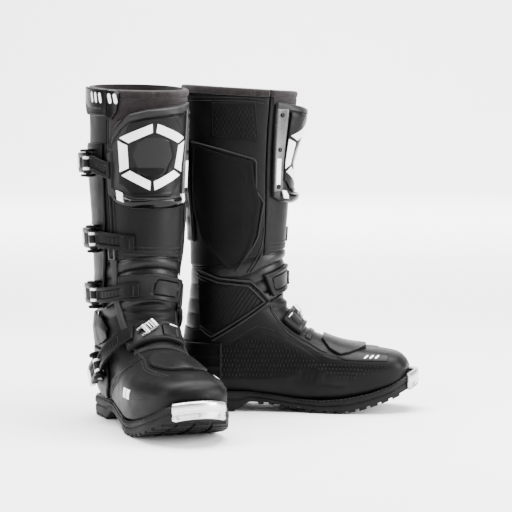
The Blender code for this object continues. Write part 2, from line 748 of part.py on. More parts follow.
def make_straps(boot):
    make_round_strap(boot, "strap_1", "lever_1", 50.0, 6.4, 0.0)
    make_round_strap(boot, "strap_2", "lever_2", 24.0, 1.0, 3.0)
    make_round_strap(boot, "strap_3", "lever_3", 18.0, 6.9, 2.5)

    low, high = 2.6, 6.0
    boot.add("ankle_saddle", skin_sheet(12, 3, ankle_saddle_place, low, high), "guard_grey", "strap_3")

    saddle = between([((6.42, -40), (6.3, 46)), ((7.45, -40), (7.42, 46))])
    low, high = 1.6, 5.0
    boot.add("instep_saddle", skin_sheet(10, 4, saddle, low, high), "guard_grey", "strap_4")

    x, z, run_x, run_z, _, _ = LEVERS["lever_4"]
    reach = KNUCKLE_RADIUS + 1.5 * STRAP_GAP
    start = Vector((x - run_x * reach, z - run_z * reach))
    end = Vector((66.0, 113.5))
    along = (end - start).normalized()
    ends = []
    for share in (1.0, 0.75, 0.5, 0.25, 0.0):
        run = Vector((-run_x, -run_z)).lerp(along, min(share * 2, 1.0)).normalized()
        half = Vector((-run.y, run.x)) * STRAP_WIDTH / 2
        spot = start.lerp(end, share)
        ends.append((seat(*(spot - half)), seat(*(spot + half))))
    lever_lift = PIN_LIFT - STRAP_THICKNESS / 2

    def under(_, v):
        return strap_rise((v - 0.3) / 0.5, 5.8, lever_lift)

    strap = skin_sheet(2, 10, between(ends), under, lambda u, v: under(u, v) + STRAP_THICKNESS)
    boot.add("strap_4", strap, "leather_black", "strap_4")


# Shin protection.


PLATE_PROFILE = ((266, 5), (272, 10), (278, 12), (286, 4.5), (318, 4.5), (348, 13), (364, 15), (386, 17), (393, 12), (396, 7))
PLATE_EDGES = (-49.0, 56.0)
PLATE_HEIGHTS = (268.0, 395.0)
INSERT_DEPTH = 2.4


def plate_height(angle, z):
    """Outer height of the shin plate: proud in the middle, thin at its sides."""
    middle = (PLATE_EDGES[0] + PLATE_EDGES[1]) / 2
    share = abs(angle - middle) / ((PLATE_EDGES[1] - PLATE_EDGES[0]) / 2)
    return blend(table(PLATE_PROFILE, z), 4.5, smooth((share - 0.35) / 0.65))


def insert_dip(angle, z):
    """Depth of the recess that holds the insert."""
    middle = (PLATE_EDGES[0] + PLATE_EDGES[1]) / 2
    across = abs(angle - middle) / 40.0
    up = abs(z - 330.0) / 52.0
    return 0.0 if max(across, up) > 1.0 else INSERT_DEPTH


def make_shin_plate(boot):
    angles = (-49, -44, -37.5, -35.5, -22, -8, 3.5, 15, 29, 42.5, 44.5, 51, 56)
    heights = (268, 272, 278, 280, 286, 302, 318, 333, 348, 364, 381, 383, 388, 395)

    def spot(u, v):
        angle = angles[round(u * (len(angles) - 1))]
        return angle, heights[round(v * (len(heights) - 1))]

    def place(u, v):
        angle, z = spot(u, v)
        return ring(angle, z), angle

    def over(u, v):
        angle, z = spot(u, v)
        return plate_height(angle, z) - insert_dip(angle, z)

    plate = skin_sheet(len(angles) - 1, len(heights) - 1, place, 1.0, over)
    boot.add("shin_plate", plate, "guard_grey", "shin_flap")

    lows = [z for z in heights if 300 <= z <= 364]
    turns = [angle for angle in angles if -22 <= angle <= 29]
    rows = [287.5] + lows + [377.5]
    columns = [-32.0] + turns + [39.0]

    def insert_spot(u, v):
        return columns[round(u * (len(columns) - 1))], rows[round(v * (len(rows) - 1))]

    def insert_place(u, v):
        angle, z = insert_spot(u, v)
        return ring(angle, z), angle

    def insert_low(u, v):
        return plate_height(*insert_spot(u, v)) - INSERT_DEPTH + 0.6

    def insert_high(u, v):
        return insert_low(u, v) + 2.2

    insert = skin_sheet(len(columns) - 1, len(rows) - 1, insert_place, insert_low, insert_high)
    boot.add("shin_insert", insert, "gloss_black", "shin_flap")


# Assembly.


def skin_hinge(boot, name, parent, spot_0, spot_1, lift):
    """A hinge along a line on the skin; the body lies ahead of it, and opens outwards."""
    first, last = at(*spot_0, lift), at(*spot_1, lift)
    line = (last - first).normalized()
    outward = normal(*spot_0)
    outward = (outward - line * outward.dot(line)).normalized()
    ahead = at(spot_0[0], spot_0[1] + 6, lift) - first
    start = line.cross(outward)
    if start.dot(ahead) < 0:
        start.negate()
    boot.hinge(name, parent, (first + last) / 2, start, outward)


def make_bodies(boot, buckles):
    ankle = grade(0.0, 0.0, 112.0)
    boot.hinge("cuff", "foot", ankle, Vector((0, 0, 1)), Vector((1, 0, 0)))
    skin_hinge(boot, "shin_flap", "cuff", (11.0, FLAP_HINGE - 0.6), (14.9, FLAP_HINGE - 0.6), 1.8)
    skin_hinge(boot, "collar_flap", "shin_flap", (14.4, 58.0), (14.9, 58.0), 2.5)
    for name, buckle in buckles.items():
        boot.hinge(name, buckle.body, buckle.origin, buckle.along, buckle.out)
    for name, buckle, angle, lift in (("strap_1", "lever_1", 50.0, 7.8), ("strap_2", "lever_2", 24.0, 2.6)):
        middle = strap_line(name, buckle, 0.0)
        skin_hinge(boot, name, "shin_flap", (ring(angle, middle - 10), angle), (ring(angle, middle + 10), angle), lift)
    skin_hinge(boot, "strap_3", "cuff", ankle_saddle_place(0.0, 0.0), ankle_saddle_place(0.0, 1.0), 4.3)
    skin_hinge(boot, "strap_4", "foot", (6.42, -40.0), (7.45, -40.0), 3.3)


def make_boot(prefix, side, place, turn):
    boot = Boot(prefix, side, place, turn)
    buckles = {name: Buckle(name) for name in LEVERS}
    make_bodies(boot, buckles)
    make_outsole(boot)
    make_shank(boot)
    make_insole(boot)
    make_toe_guard(boot)
    make_foot_shell(boot)
    make_ankle_bellows(boot)
    make_shaft(boot)
    make_guards(boot)
    make_buckles(boot, buckles)
    make_shin_plate(boot)
    make_straps(boot)
    return boot


def centre_pair(boots):
    """Moves both boots so that the middle of their footprint is at the origin, on the floor."""
    bpy.context.view_layer.update()
    depsgraph = bpy.context.evaluated_depsgraph_get()
    corners = []
    for piece in PARTS.objects:
        if piece.type == "MESH":
            shape = piece.evaluated_get(depsgraph)
            corners += [shape.matrix_world @ vertex.co for vertex in shape.data.vertices]
    for axis in (0, 1):
        values = [corner[axis] for corner in corners]
        shift = (min(values) + max(values)) / 2
        for boot in boots:
            boot.root.location[axis] -= shift
    bpy.context.view_layer.update()


for old in list(bpy.data.objects):
    bpy.data.objects.remove(old, do_unlink=True)
PARTS = bpy.data.collections.new("riding_boots")
TOOLS = bpy.data.collections.new("cutters")
for collection in (PARTS, TOOLS):
    bpy.context.scene.collection.children.link(collection)
TOOLS.hide_render = True
PAIR = [make_boot("left", 1, (0.0, 0.0), 0.0), make_boot("right", -1, RIGHT_PLACE, RIGHT_TURN)]
centre_pair(PAIR)
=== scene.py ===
"""The finished look of a pair of off-road riding boots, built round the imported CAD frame.

Every visible piece is laid on the same skin as the CAD: one row of numbers for each loop round
the boot, in the boot's own pattern frame (millimetres; x to the toe, +y to the outer side, z up).
A place on the skin is a station k along the boot, from the toe at 0 to the collar at 15, and an
angle round it: 0 the front, 90 the outer side, 180 the back, -90 the inner side.
"""

import json
import math

import bpy
import numpy as np
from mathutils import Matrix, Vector


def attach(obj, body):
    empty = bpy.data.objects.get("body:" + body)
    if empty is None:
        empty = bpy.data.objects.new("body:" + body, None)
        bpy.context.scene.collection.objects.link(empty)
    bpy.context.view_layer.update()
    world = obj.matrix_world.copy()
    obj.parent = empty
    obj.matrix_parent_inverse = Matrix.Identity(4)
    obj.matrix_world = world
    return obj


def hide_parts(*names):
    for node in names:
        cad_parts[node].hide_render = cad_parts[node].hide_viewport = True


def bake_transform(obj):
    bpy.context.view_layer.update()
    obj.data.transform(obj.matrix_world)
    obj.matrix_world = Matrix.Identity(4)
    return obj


MM = 0.001

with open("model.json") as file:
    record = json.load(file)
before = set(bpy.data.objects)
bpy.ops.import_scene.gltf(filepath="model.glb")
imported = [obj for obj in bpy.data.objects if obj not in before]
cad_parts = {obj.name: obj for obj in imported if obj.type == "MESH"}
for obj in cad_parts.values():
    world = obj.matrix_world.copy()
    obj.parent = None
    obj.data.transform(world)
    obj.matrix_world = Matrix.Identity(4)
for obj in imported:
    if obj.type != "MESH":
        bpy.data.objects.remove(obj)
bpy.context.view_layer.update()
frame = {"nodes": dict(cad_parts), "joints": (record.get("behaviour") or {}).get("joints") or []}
JOINTS = {joint["name"]: joint for joint in frame["joints"]}

# The CAD's skin: front x and z, back x and z, half width, middle y, squareness of front and back.
STATIONS = np.array((
    (219, 58, 216, 46, 10, -8.0, 2.2, 3.0),
    (214, 67, 207, 38, 31, -7.5, 2.3, 5.0),
    (202, 75, 192, 31, 42, -6.0, 2.5, 6.0),
    (172, 80, 165, 22, 50, -3.0, 2.5, 6.0),
    (140, 84, 134, 16, 53, 0.0, 2.4, 6.0),
    (116, 91, 100, 14, 52, 1.0, 2.3, 6.0),
    (92, 101, 60, 17, 48, 1.0, 2.2, 6.0),
    (70, 119, 8, 22, 46, 0.0, 2.2, 5.0),
    (57, 142, -50, 25, 47, 0.0, 2.2, 3.6),
    (54, 166, -75, 60, 47.5, 0.0, 2.2, 2.4),
    (55, 190, -72, 115, 48.5, 0.0, 2.2, 2.3),
    (58, 214, -66, 170, 50.5, 0.0, 2.2, 2.3),
    (61, 255, -67, 240, 53.5, 0.0, 2.2, 2.3),
    (64, 310, -73, 305, 57, 0.0, 2.2, 2.3),
    (67, 360, -75.5, 362, 58, 0.0, 2.2, 2.3),
    (72, 410, -75, 419, 58.5, 0.0, 2.2, 2.3),
))
LAST_K = len(STATIONS) - 1
TOE_K = 0.06
FOOT_TOP = (8.3, 9.85)
CUFF_BOTTOM = (10.8, 11.25)
COLLAR_SEAM = 14.74
FLAP_EDGE, FLAP_HINGE = 60.0, -56.0
UPPER = 4.0

SOLE_TOP = np.array(((-73, 24), (13, 24), (51, 19), (77, 15), (103, 14), (135, 17), (167, 24), (193, 33),
                     (212, 44), (228, 50)), float)
SOLE_BOTTOM = np.array(((-73, 0), (-3, 0), (13, 10), (39, 9), (64, 5), (103, 0), (135, 0), (154, 4),
                        (180, 12), (199, 19), (216, 27), (228, 33)), float)
SOLE_HALF = np.array(((-45, 45), (20, 42), (80, 48), (115, 54), (150, 54)), float)
SOLE_TIP, SOLE_HEEL, TOE_SPRING, HEEL_ROUND = 227.0, -73.0, 150.0, -45.0

PIN_LIFT, PIN_RADIUS, KNUCKLE = 10.5, 2.2, 5.2
EAR_RADIUS, EAR_THICKNESS, EAR_CLEARANCE = 8.6, 3.0, 0.8
LEVER_WIDTH, LEVER_THICKNESS, LEVER_LENGTH, LEVER_FLARE = 26.0, 8.4, 42.0, 3.0
STRAP_WIDTH, STRAP_THICKNESS, STRAP_GAP = 20.0, 3.4, 1.2
STRAP_LEADS = {"strap_1": -8.0, "strap_2": -4.0, "strap_3": 9.0}
SADDLE_ANCHOR, SADDLE_END = (-40.0, -55.0), 46.0
SADDLE_LOW = np.array(((-60, 147), (-40, 148), (-20, 151), (0, 155), (46, 153)), float)
SADDLE_HIGH = np.array(((-60, 175), (-40, 180), (-20, 185), (0, 188), (36, 186), (46, 184)), float)
LEVERS = {
    "lever_1": (3.0, 322.0, -1.0, 0.0, 110.0, "cuff"),
    "lever_2": (8.0, 229.0, -1.0, 0.0, 100.0, "cuff"),
    "lever_3": (0.0, 159.0, -1.0, 0.0, 105.0, "cuff"),
    "lever_4": (8.0, 70.0, -0.87, -0.5, 190.0, "foot"),
}


# The skin.


def catmull(a, b, c, d, f):
    """Catmull-Rom value at share f between b and c."""
    return 0.5 * (2 * b + (c - a) * f + (2 * a - 5 * b + 4 * c - d) * f**2 + (3 * b - a - 3 * c + d) * f**3)


def station(k):
    """Catmull-Rom reading of the skin's rows, one array for each column."""
    k = np.clip(np.asarray(k, float), 0.0, LAST_K)
    i = np.minimum(k.astype(int), LAST_K - 1)
    rows = [STATIONS[np.clip(i + j, 0, LAST_K)] for j in (-1, 0, 1, 2)]
    return np.moveaxis(catmull(*rows, (k - i)[..., None]), -1, 0)


def power(value, exponent):
    return np.sign(value) * np.abs(value) ** exponent


def skin(k, angle):
    """Points of the skin in the pattern frame."""
    front_x, front_z, back_x, back_z, half, middle, square_front, square_back = station(k)
    turn = np.radians(angle)
    square = np.where(np.cos(turn) >= 0, square_front, square_back)
    along = power(np.cos(turn), 2.0 / square)
    x = (front_x + back_x) / 2 + (front_x - back_x) / 2 * along
    z = (front_z + back_z) / 2 + (front_z - back_z) / 2 * along
    return np.stack([x, middle + half * power(np.sin(turn), 2.0 / square), z], -1)


def unit(vectors):
    return vectors / np.maximum(np.linalg.norm(vectors, axis=-1, keepdims=True), 1e-9)


def normal(k, angle):
    along = skin(k + 0.04, angle) - skin(k - 0.04, angle)
    across = skin(k, angle + 1.5) - skin(k, angle - 1.5)
    return unit(np.cross(across, along))


def at(k, angle, lift):
    k, angle = np.broadcast_arrays(np.asarray(k, float), np.asarray(angle, float))
    return skin(k, angle) + normal(k, angle) * np.asarray(lift, float)[..., None]


def bisected(low, high, holds):
    """Where a test that holds at low stops holding, between two arrays."""
    for _ in range(30):
        middle = (low + high) / 2
        held = holds(middle)
        low, high = np.where(held, middle, low), np.where(held, high, middle)
    return low


def seat(x, z, side=1):
    """Station and angle of the skin points seen at pattern x, z from one side (1 outer, -1 inner)."""
    x, z = np.broadcast_arrays(np.asarray(x, float), np.asarray(z, float))

    def above(k):
        front_x, front_z, back_x, back_z = station(k)[:4]
        return (front_x - back_x) * (z - back_z) - (front_z - back_z) * (x - back_x) > 0

    k = bisected(np.zeros(x.shape), np.full(x.shape, float(LAST_K)), above)
    front_x, front_z, back_x, back_z, _, _, square_front, square_back = station(k)
    span = np.stack([front_x - back_x, front_z - back_z])
    off = np.stack([x - (front_x + back_x) / 2, z - (front_z + back_z) / 2])
    along = np.clip(2 * (span * off).sum(0) / (span * span).sum(0), -1.0, 1.0)
    square = np.where(along >= 0, square_front, square_back)
    return k, side * np.degrees(np.arccos(power(along, square / 2.0)))


def ring(angle, z):
    """Station at which the skin passes a pattern height, above the ball of the foot."""
    angle, z = np.broadcast_arrays(np.asarray(angle, float), np.asarray(z, float))
    ends = np.full(z.shape, 5.5), np.full(z.shape, float(LAST_K))
    return bisected(*ends, lambda k: skin(k, angle)[..., 2] < z)


def mix(low, high, share):
    return low + (high - low) * share


def smooth(share):
    share = np.clip(share, 0.0, 1.0)
    return share * share * (3.0 - 2.0 * share)


def reading(rows, x):
    return np.interp(x, rows[:, 0], rows[:, 1])


def to_back(angle):
    return (1.0 - np.cos(np.radians(angle))) / 2.0


def foot_top(angle):
    return mix(FOOT_TOP[0], FOOT_TOP[1], to_back(angle))


def cuff_bottom(angle):
    return mix(CUFF_BOTTOM[0], CUFF_BOTTOM[1], to_back(angle))


def sole_half(x):
    x = np.asarray(x, float)
    toe = np.clip((x - TOE_SPRING) / (SOLE_TIP - TOE_SPRING), 0.0, 1.0)
    heel = np.clip((HEEL_ROUND - x) / (HEEL_ROUND - SOLE_HEEL), 0.0, 1.0)
    half = reading(SOLE_HALF, x)
    half = np.where(x > TOE_SPRING, SOLE_HALF[-1, 1] * (1.0 - toe**2.3) ** (1 / 2.2), half)
    return np.where(x < HEEL_ROUND, SOLE_HALF[0, 1] * (1.0 - heel**2.2) ** (1 / 2.2), half)


def sole_middle(x):
    return -4.0 * smooth((np.asarray(x, float) - 80.0) / 90.0)


# Materials.

TEXTURE_MIDDLE = (0.3, 0.7)
BLACK_SPECULAR = 0.08


class Finish:
    """A procedural material: its base shader, and the texture nodes hung on it."""

    def __init__(self, name, slot, colour, roughness, metallic=0.0, specular=0.5):
        self.slot = slot
        self.material = bpy.data.materials.new(name)
        self.material.use_nodes = True
        self.nodes = self.material.node_tree.nodes
        self.links = self.material.node_tree.links
        self.shader = self.nodes["Principled BSDF"]
        self.set("Base Color", (*colour, 1.0))
        self.set("Roughness", roughness)
        self.set("Metallic", metallic)
        self.set("Specular IOR Level", specular)
        self.material.diffuse_color = (*colour, 1.0)
        self.place = self.nodes.new("ShaderNodeTexCoord").outputs["Object"]
        self.height = None

    def set(self, name, value):
        self.shader.inputs[name].default_value = value
        return self

    def node(self, kind, **inputs):
        made = self.nodes.new(kind)
        for name, value in inputs.items():
            socket = made.inputs[name.replace("_", " ")]
            if hasattr(value, "links"):
                self.links.new(value, socket)
            else:
                socket.default_value = value
        return made

    def flat(self):
        """The piece's own surface coordinates in millimetres, instead of the object's."""
        found = self.nodes.new("ShaderNodeAttribute")
        found.attribute_name = "flat"
        self.place = found.outputs["Vector"]
        return self

    def stretched(self, scale):
        return self.node("ShaderNodeMapping", Vector=self.place, Scale=scale).outputs["Vector"]

    def noise(self, scale, detail=3.0, place=None):
        made = self.node("ShaderNodeTexNoise", Vector=place or self.place, Scale=scale, Detail=detail)
        return made.outputs["Fac"]

    def cells(self, scale):
        made = self.node("ShaderNodeTexVoronoi", Vector=self.place, Scale=scale)
        made.feature = "DISTANCE_TO_EDGE"
        return made.outputs["Distance"]

    def bands(self, scale, direction="X", distortion=0.0):
        made = self.node("ShaderNodeTexWave", Vector=self.place, Scale=scale, Distortion=distortion)
        made.bands_direction = direction
        return made.outputs["Fac"]

    def tint(self, value, low, high):
        """Base colour from low to high over the middle of a texture's range."""
        made = self.node("ShaderNodeValToRGB", Fac=value)
        for stop, share, colour in zip(made.color_ramp.elements, TEXTURE_MIDDLE, (low, high)):
            stop.position, stop.color = share, (*colour, 1.0)
        self.links.new(made.outputs["Color"], self.shader.inputs["Base Color"])
        return self

    def roughness(self, value, low, high):
        made = self.node("ShaderNodeMapRange", Value=value)
        for name, number in zip(("From Min", "From Max", "To Min", "To Max"), (*TEXTURE_MIDDLE, low, high)):
            made.inputs[name].default_value = number
        self.links.new(made.outputs["Result"], self.shader.inputs["Roughness"])
        return self

    def bump(self, value, distance, strength=1.0):
        made = self.node("ShaderNodeBump", Distance=distance, Strength=strength, Height=value)
        if self.height is not None:
            self.links.new(self.height, made.inputs["Normal"])
        self.height = made.outputs["Normal"]
        self.links.new(self.height, self.shader.inputs["Normal"])
        return self


def grey(value, warm=0.0):
    return (value * (1 + warm), value, value * (1 + warm * 0.4))


def leather(name, slot, level, rough):
    finish = Finish(name, slot, grey(level), rough, specular=BLACK_SPECULAR)
    finish.tint(finish.noise(18.0, 5.0), grey(level * 0.72), grey(level * 1.35, 0.03))
    finish.roughness(finish.noise(46.0, 4.0), rough - 0.06, rough + 0.08)
    finish.bump(finish.cells(820.0), 0.00016, 0.55)
    return finish.bump(finish.noise(2600.0, 2.0), 0.00005, 0.4)


def moulded(name, slot, level, rough, texture=1500.0, depth=0.00006):
    finish = Finish(name, slot, grey(level), rough, specular=BLACK_SPECULAR)
    finish.tint(finish.noise(25.0, 4.0), grey(level * 0.8), grey(level * 1.25))
    finish.roughness(finish.noise(60.0, 5.0), rough - 0.05, rough + 0.07)
    return finish.bump(finish.noise(texture, 2.0), depth, 0.6)


def worn(finish, smudges, roughness, grain, depth, strength):
    """Uneven roughness and a fine grain; smudges and grain are the scale and detail of their noise."""
    finish.roughness(finish.noise(*smudges), *roughness)
    return finish.bump(finish.noise(*grain), depth, strength)


def make_finishes():
    made = {}
    made["leather"] = leather("leather_smooth_black", "upper_leather", 0.0035, 0.43)
    made["matte"] = moulded("matte_side_panel", "black_moulding", 0.0018, 0.62, 1200.0, 0.0001)
    made["guard"] = moulded("guard_moulding", "grey_moulding", 0.0065, 0.38, 1300.0, 0.00008)
    made["black"] = moulded("black_moulding", "black_moulding", 0.002, 0.42)
    made["frame"] = moulded("plate_frame_moulding", "plate_moulding", 0.016, 0.38, 1300.0, 0.00007)
    # Glossy grey moulding whose base colour is made lighter than the frame's partly as painted reflection:
    # the light grey stands in for the bright reflections on the flange.
    made["grey_painted_sheen"] = moulded("plate_flange_painted_sheen", "plate_moulding", 0.045, 0.24, 900.0, 0.00003)
    made["grey_painted_sheen"].set("Specular IOR Level", 0.35).set("Metallic", 0.25)
    made["strap"] = moulded("strap_moulding", "strap_moulding", 0.003, 0.42)
    made["lever"] = moulded("lever_moulding", "lever_moulding", 0.005, 0.34)

    grip = moulded("grip_panel", "grip_leather", 0.002, 0.55, 1500.0, 0.00012)
    grip.bump(grip.cells(420.0), 0.0004, 0.8)
    made["grip"] = grip

    rubber = moulded("sole_rubber", "sole_rubber", 0.0065, 0.55, 900.0, 0.0001)
    rubber.bump(rubber.noise(140.0, 5.0), 0.0002, 0.35)
    made["rubber"] = rubber

    gloss = Finish("insert_gloss_black", "gloss_insert", grey(0.0012), 0.16, specular=0.1)
    made["gloss"] = worn(gloss, (35.0, 5.0), (0.12, 0.24), (30.0, 1.0), 0.00008, 0.3)
    gloss.set("Coat Weight", 0.12).set("Coat Roughness", 0.05)
    satin = Finish("insert_satin_dark", "gloss_insert", grey(0.002), 0.36, specular=0.1)
    made["satin"] = worn(satin, (50.0, 5.0), (0.30, 0.44), (1400.0, 2.0), 0.00004, 0.5)

    white = Finish("white_print", "plate_moulding", (0.78, 0.78, 0.79), 0.35)
    white.tint(white.noise(60.0, 4.0), (0.70, 0.70, 0.71), (0.83, 0.83, 0.84))
    made["white"] = white.bump(white.noise(900.0, 2.0), 0.00003, 0.4)

    metal = Finish("toe_cap_steel", "toe_metal", (0.62, 0.62, 0.63), 0.28, 1.0)
    brushed = metal.noise(1.0, 4.0, metal.stretched((60.0, 60.0, 1800.0)))
    metal.tint(metal.noise(30.0, 5.0), (0.50, 0.50, 0.51), (0.72, 0.72, 0.73))
    metal.roughness(brushed, 0.20, 0.38)
    made["metal"] = metal.bump(brushed, 0.00004, 0.5)

    screw_steel = Finish("screw_steel", "shank_steel", (0.40, 0.40, 0.41), 0.32, 1.0)
    made["screw"] = worn(screw_steel, (500.0, 3.0), (0.24, 0.42), (900.0, 2.0), 0.00003, 0.5)
    tip = Finish("lever_tip_silver", "lever_moulding", (0.72, 0.72, 0.73), 0.30, 0.35)
    made["tip"] = worn(tip, (70.0, 4.0), (0.24, 0.40), (1500.0, 2.0), 0.00004, 0.4)

    thread = Finish("seam_thread", "upper_leather", grey(0.014), 0.7, specular=0.2)
    thread.tint(thread.noise(900.0, 3.0), grey(0.009), grey(0.022))
    made["thread"] = thread.bump(thread.noise(4000.0, 2.0), 0.00008, 0.8)

    made["piping"] = moulded("seam_piping", "grey_moulding", 0.012, 0.42, 1300.0, 0.00005)

    collar = Finish("collar_knit", "collar_fabric", (0.009, 0.006, 0.0065), 0.92, specular=0.15).flat()
    ribs = collar.bands(0.19, "X")
    weave = collar.bands(0.26, "Y", 1.2)
    collar.tint(collar.noise(0.16, 5.0), (0.006, 0.0038, 0.0043), (0.013, 0.0088, 0.0095))
    collar.roughness(collar.noise(0.4, 4.0), 0.84, 0.97)
    collar.bump(weave, 0.0003, 0.6)
    collar.bump(ribs, 0.0005, 0.8)
    collar.set("Sheen Weight", 0.12)
    collar.set("Sheen Roughness", 0.5)
    made["collar"] = collar

    lining = Finish("lining_mesh", "collar_fabric", (0.017, 0.009, 0.010), 0.95).flat()
    lining.tint(lining.noise(0.12, 5.0), (0.012, 0.006, 0.0065), (0.024, 0.013, 0.014))
    lining.roughness(lining.noise(0.5, 4.0), 0.88, 0.99)
    made["lining"] = lining.bump(lining.cells(0.55), 0.0006, 0.8)

    bellows = Finish("bellows_microfibre", "bellows_microfibre", grey(0.0035), 0.36, specular=0.17).flat()
    bellows.tint(bellows.noise(0.08, 5.0), grey(0.0025), grey(0.005))
    bellows.roughness(bellows.noise(0.25, 4.0), 0.30, 0.44)
    made["bellows"] = bellows.bump(bellows.cells(0.9), 0.00018, 0.6)

    steel = Finish("shank_steel", "shank_steel", (0.55, 0.55, 0.57), 0.35, 1.0)
    steel.roughness(steel.noise(1.0, 4.0, steel.stretched((1500.0, 60.0, 60.0))), 0.28, 0.45)
    made["steel"] = steel
    board = Finish("insole_board", "insole_board", (0.10, 0.09, 0.08), 0.85)
    board.tint(board.noise(300.0, 5.0), (0.07, 0.062, 0.055), (0.13, 0.118, 0.105))
    made["board"] = board.bump(board.noise(900.0, 4.0), 0.0002, 0.7)
    return made


FINISHES = make_finishes()


# Meshes.

SINK = 0.5


def merged(shapes):
    """Several (points, faces) shapes as one."""
    points, faces, start = [], [], 0
    for shape_points, shape_faces in shapes:
        points.append(np.asarray(shape_points, float))
        faces += [tuple(index + start for index in face) for face in shape_faces]
        start += len(shape_points)
    return np.concatenate(points), faces


def grid_faces(rows, columns, flip=False, wrap=False):
    """Quads of a rows x columns grid of points; wrap joins the last column to the first."""
    last = columns if wrap else columns - 1
    i, j = np.meshgrid(np.arange(rows - 1), np.arange(last), indexing="ij")
    i, j, after = i.ravel(), j.ravel(), (j.ravel() + 1) % columns
    row, above = i * columns, (i + 1) * columns
    quads = np.stack([row + j, row + after, above + after, above + j], -1)
    return [tuple(face) for face in (quads[:, ::-1] if flip else quads).tolist()]


class Boot:
    """Places pattern-frame shapes of one boot in the frame, on one of its CAD bodies."""

    def __init__(self, prefix, side):
        ankle = JOINTS[prefix + "_ankle_flex"]
        self.prefix, self.side = prefix, side
        self.origin = np.array([ankle["pos_m"][0], ankle["pos_m"][1], 0.0])
        yaw = math.atan2(-ankle["axis"][0], ankle["axis"][1])
        cos, sin = math.cos(yaw), math.sin(yaw)
        self.turn = np.array(((cos, -sin, 0.0), (sin, cos, 0.0), (0.0, 0.0, 1.0)))

    def place(self, points):
        """Pattern points in millimetres to frame points in metres."""
        points = np.asarray(points, float) * (1.0, self.side, 1.0)
        return points @ self.turn.T * MM + self.origin

    def piece(self, name, shape, body, finish, replaces=(), flat=None, sharp=38.0, ride=True):
        """A mesh object from pattern points and faces, riding on a body."""
        points, faces = shape
        data = bpy.data.meshes.new(f"{self.prefix}_{name}")
        if self.side < 0:
            faces = [face[::-1] for face in faces]
        data.from_pydata(self.place(points).tolist(), [], faces)
        data.update()
        data.materials.append(FINISHES[finish].material)
        data.shade_smooth()
        data.set_sharp_from_angle(angle=math.radians(sharp))
        if flat is not None:
            layer = data.attributes.new("flat", "FLOAT_VECTOR", "POINT")
            layer.data.foreach_set("vector", np.asarray(flat, np.float32).ravel())
        made = bpy.data.objects.new(f"{self.prefix}_{name}", data)
        bpy.context.scene.collection.objects.link(made)
        if ride:
            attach(made, f"{self.prefix}_{body}")
        if replaces:
            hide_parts(*(f"{self.prefix}_{node}" for node in replaces))
        return made


def spread_out(length, step, edge):
    """Shares 0 to 1 along a length: close together over the rounded borders, then even."""
    edge = min(edge, length * 0.25)
    border = edge * np.array((0.0, 0.08, 0.3, 0.62, 1.0)) / length
    count = max(int(round((length - 2 * edge) / step)), 1)
    middle = np.linspace(border[-1], 1.0 - border[-1], count + 1)
    return np.concatenate([border[:-1], middle, (1.0 - border[:-1])[::-1]])


class Spots:
    """The sampled places of a patch, for its height functions."""

    def __init__(self, u, v, k, angle):
        self.u, self.v, self.k, self.angle = u, v, k, angle
        self.point = skin(k, angle)
        self.x, self.y, self.z = self.point[..., 0], self.point[..., 1], self.point[..., 2]
        self.long_u = self.lengths(1)
        self.long_v = self.lengths(0)
        self.from_u0, self.from_u1 = u * self.long_u, (1 - u) * self.long_u
        self.from_v0, self.from_v1 = v * self.long_v, (1 - v) * self.long_v
        self.rim = np.minimum(np.minimum(self.from_u0, self.from_u1), np.minimum(self.from_v0, self.from_v1))

    def lengths(self, axis):
        steps = np.linalg.norm(np.diff(self.point, axis=axis), axis=-1).sum(axis=axis, keepdims=True)
        return np.broadcast_to(np.maximum(steps, 0.01), self.k.shape)


def level(value, spots):
    return value(spots) if callable(value) else np.full(spots.k.shape, float(value))


def slab(place, low, high, step=2.5, edge=1.2):
    """A closed panel on the skin with rounded borders: place(u, v) gives station and angle, and low
    and high are the heights of its two faces, numbers or functions of the spots."""
    rough_u, rough_v = np.meshgrid(np.linspace(0, 1, 25), np.linspace(0, 1, 25))
    rough = Spots(rough_u, rough_v, *np.broadcast_arrays(*place(rough_u, rough_v)))
    u = spread_out(float(rough.long_u.mean()), step, edge)
    v = spread_out(float(rough.long_v.mean()), step, edge)
    uu, vv = np.meshgrid(u, v)
    k, angle = np.broadcast_arrays(*place(uu, vv))
    spots = Spots(uu, vv, k, angle)
    bottom, top = level(low, spots), level(high, spots)
    reach = np.minimum(edge, np.maximum(top - bottom, 0.05) * 0.9)
    inside = np.clip(reach - spots.rim, 0.0, reach)
    top = top - reach + np.sqrt(np.maximum(reach**2 - inside**2, 0.0))
    out, flat = normal(k, angle), np.stack([spots.from_u0, spots.from_v0, 0 * k], -1)
    upper, under = spots.point + out * top[..., None], spots.point + out * bottom[..., None]
    rows, columns = uu.shape
    count = rows * columns
    index = np.arange(count).reshape(rows, columns)
    # The panel's face points outwards where stations rise as v and angles rise as u.
    rim = np.concatenate([index[0, :], index[1:, -1], index[-1, -2::-1], index[-2:0:-1, 0]])
    after = np.roll(rim, -1)
    facing = np.cross(np.gradient(upper, axis=1), np.gradient(upper, axis=0))
    handed = (facing * out).sum(-1).mean() > 0
    faces = grid_faces(rows, columns, flip=not handed)
    faces += [tuple(i + count for i in face) for face in grid_faces(rows, columns, flip=handed)]
    sides = np.stack([rim, rim + count, after + count, after], -1)
    faces += [tuple(face) for face in (sides if handed else sides[:, ::-1]).tolist()]
    points = np.concatenate([upper.reshape(-1, 3), under.reshape(-1, 3)])
    return points, faces, np.concatenate([flat.reshape(-1, 3)] * 2)


def between(ends):
    """Place function for a patch whose rows run between pairs of (station, angle) ends."""
    left = np.array([row[0] for row in ends], float)
    right = np.array([row[1] for row in ends], float)
    shares = np.linspace(0.0, 1.0, len(ends))

    def place(u, v):
        sides = [[np.interp(v, shares, edge[:, i]) for i in (0, 1)] for edge in (left, right)]
        return mix(sides[0][0], sides[1][0], u), mix(sides[0][1], sides[1][1], u)

    return place


def side_patch(pairs, side):
    return between([(seat(*a, side), seat(*b, side)) for a, b in pairs])


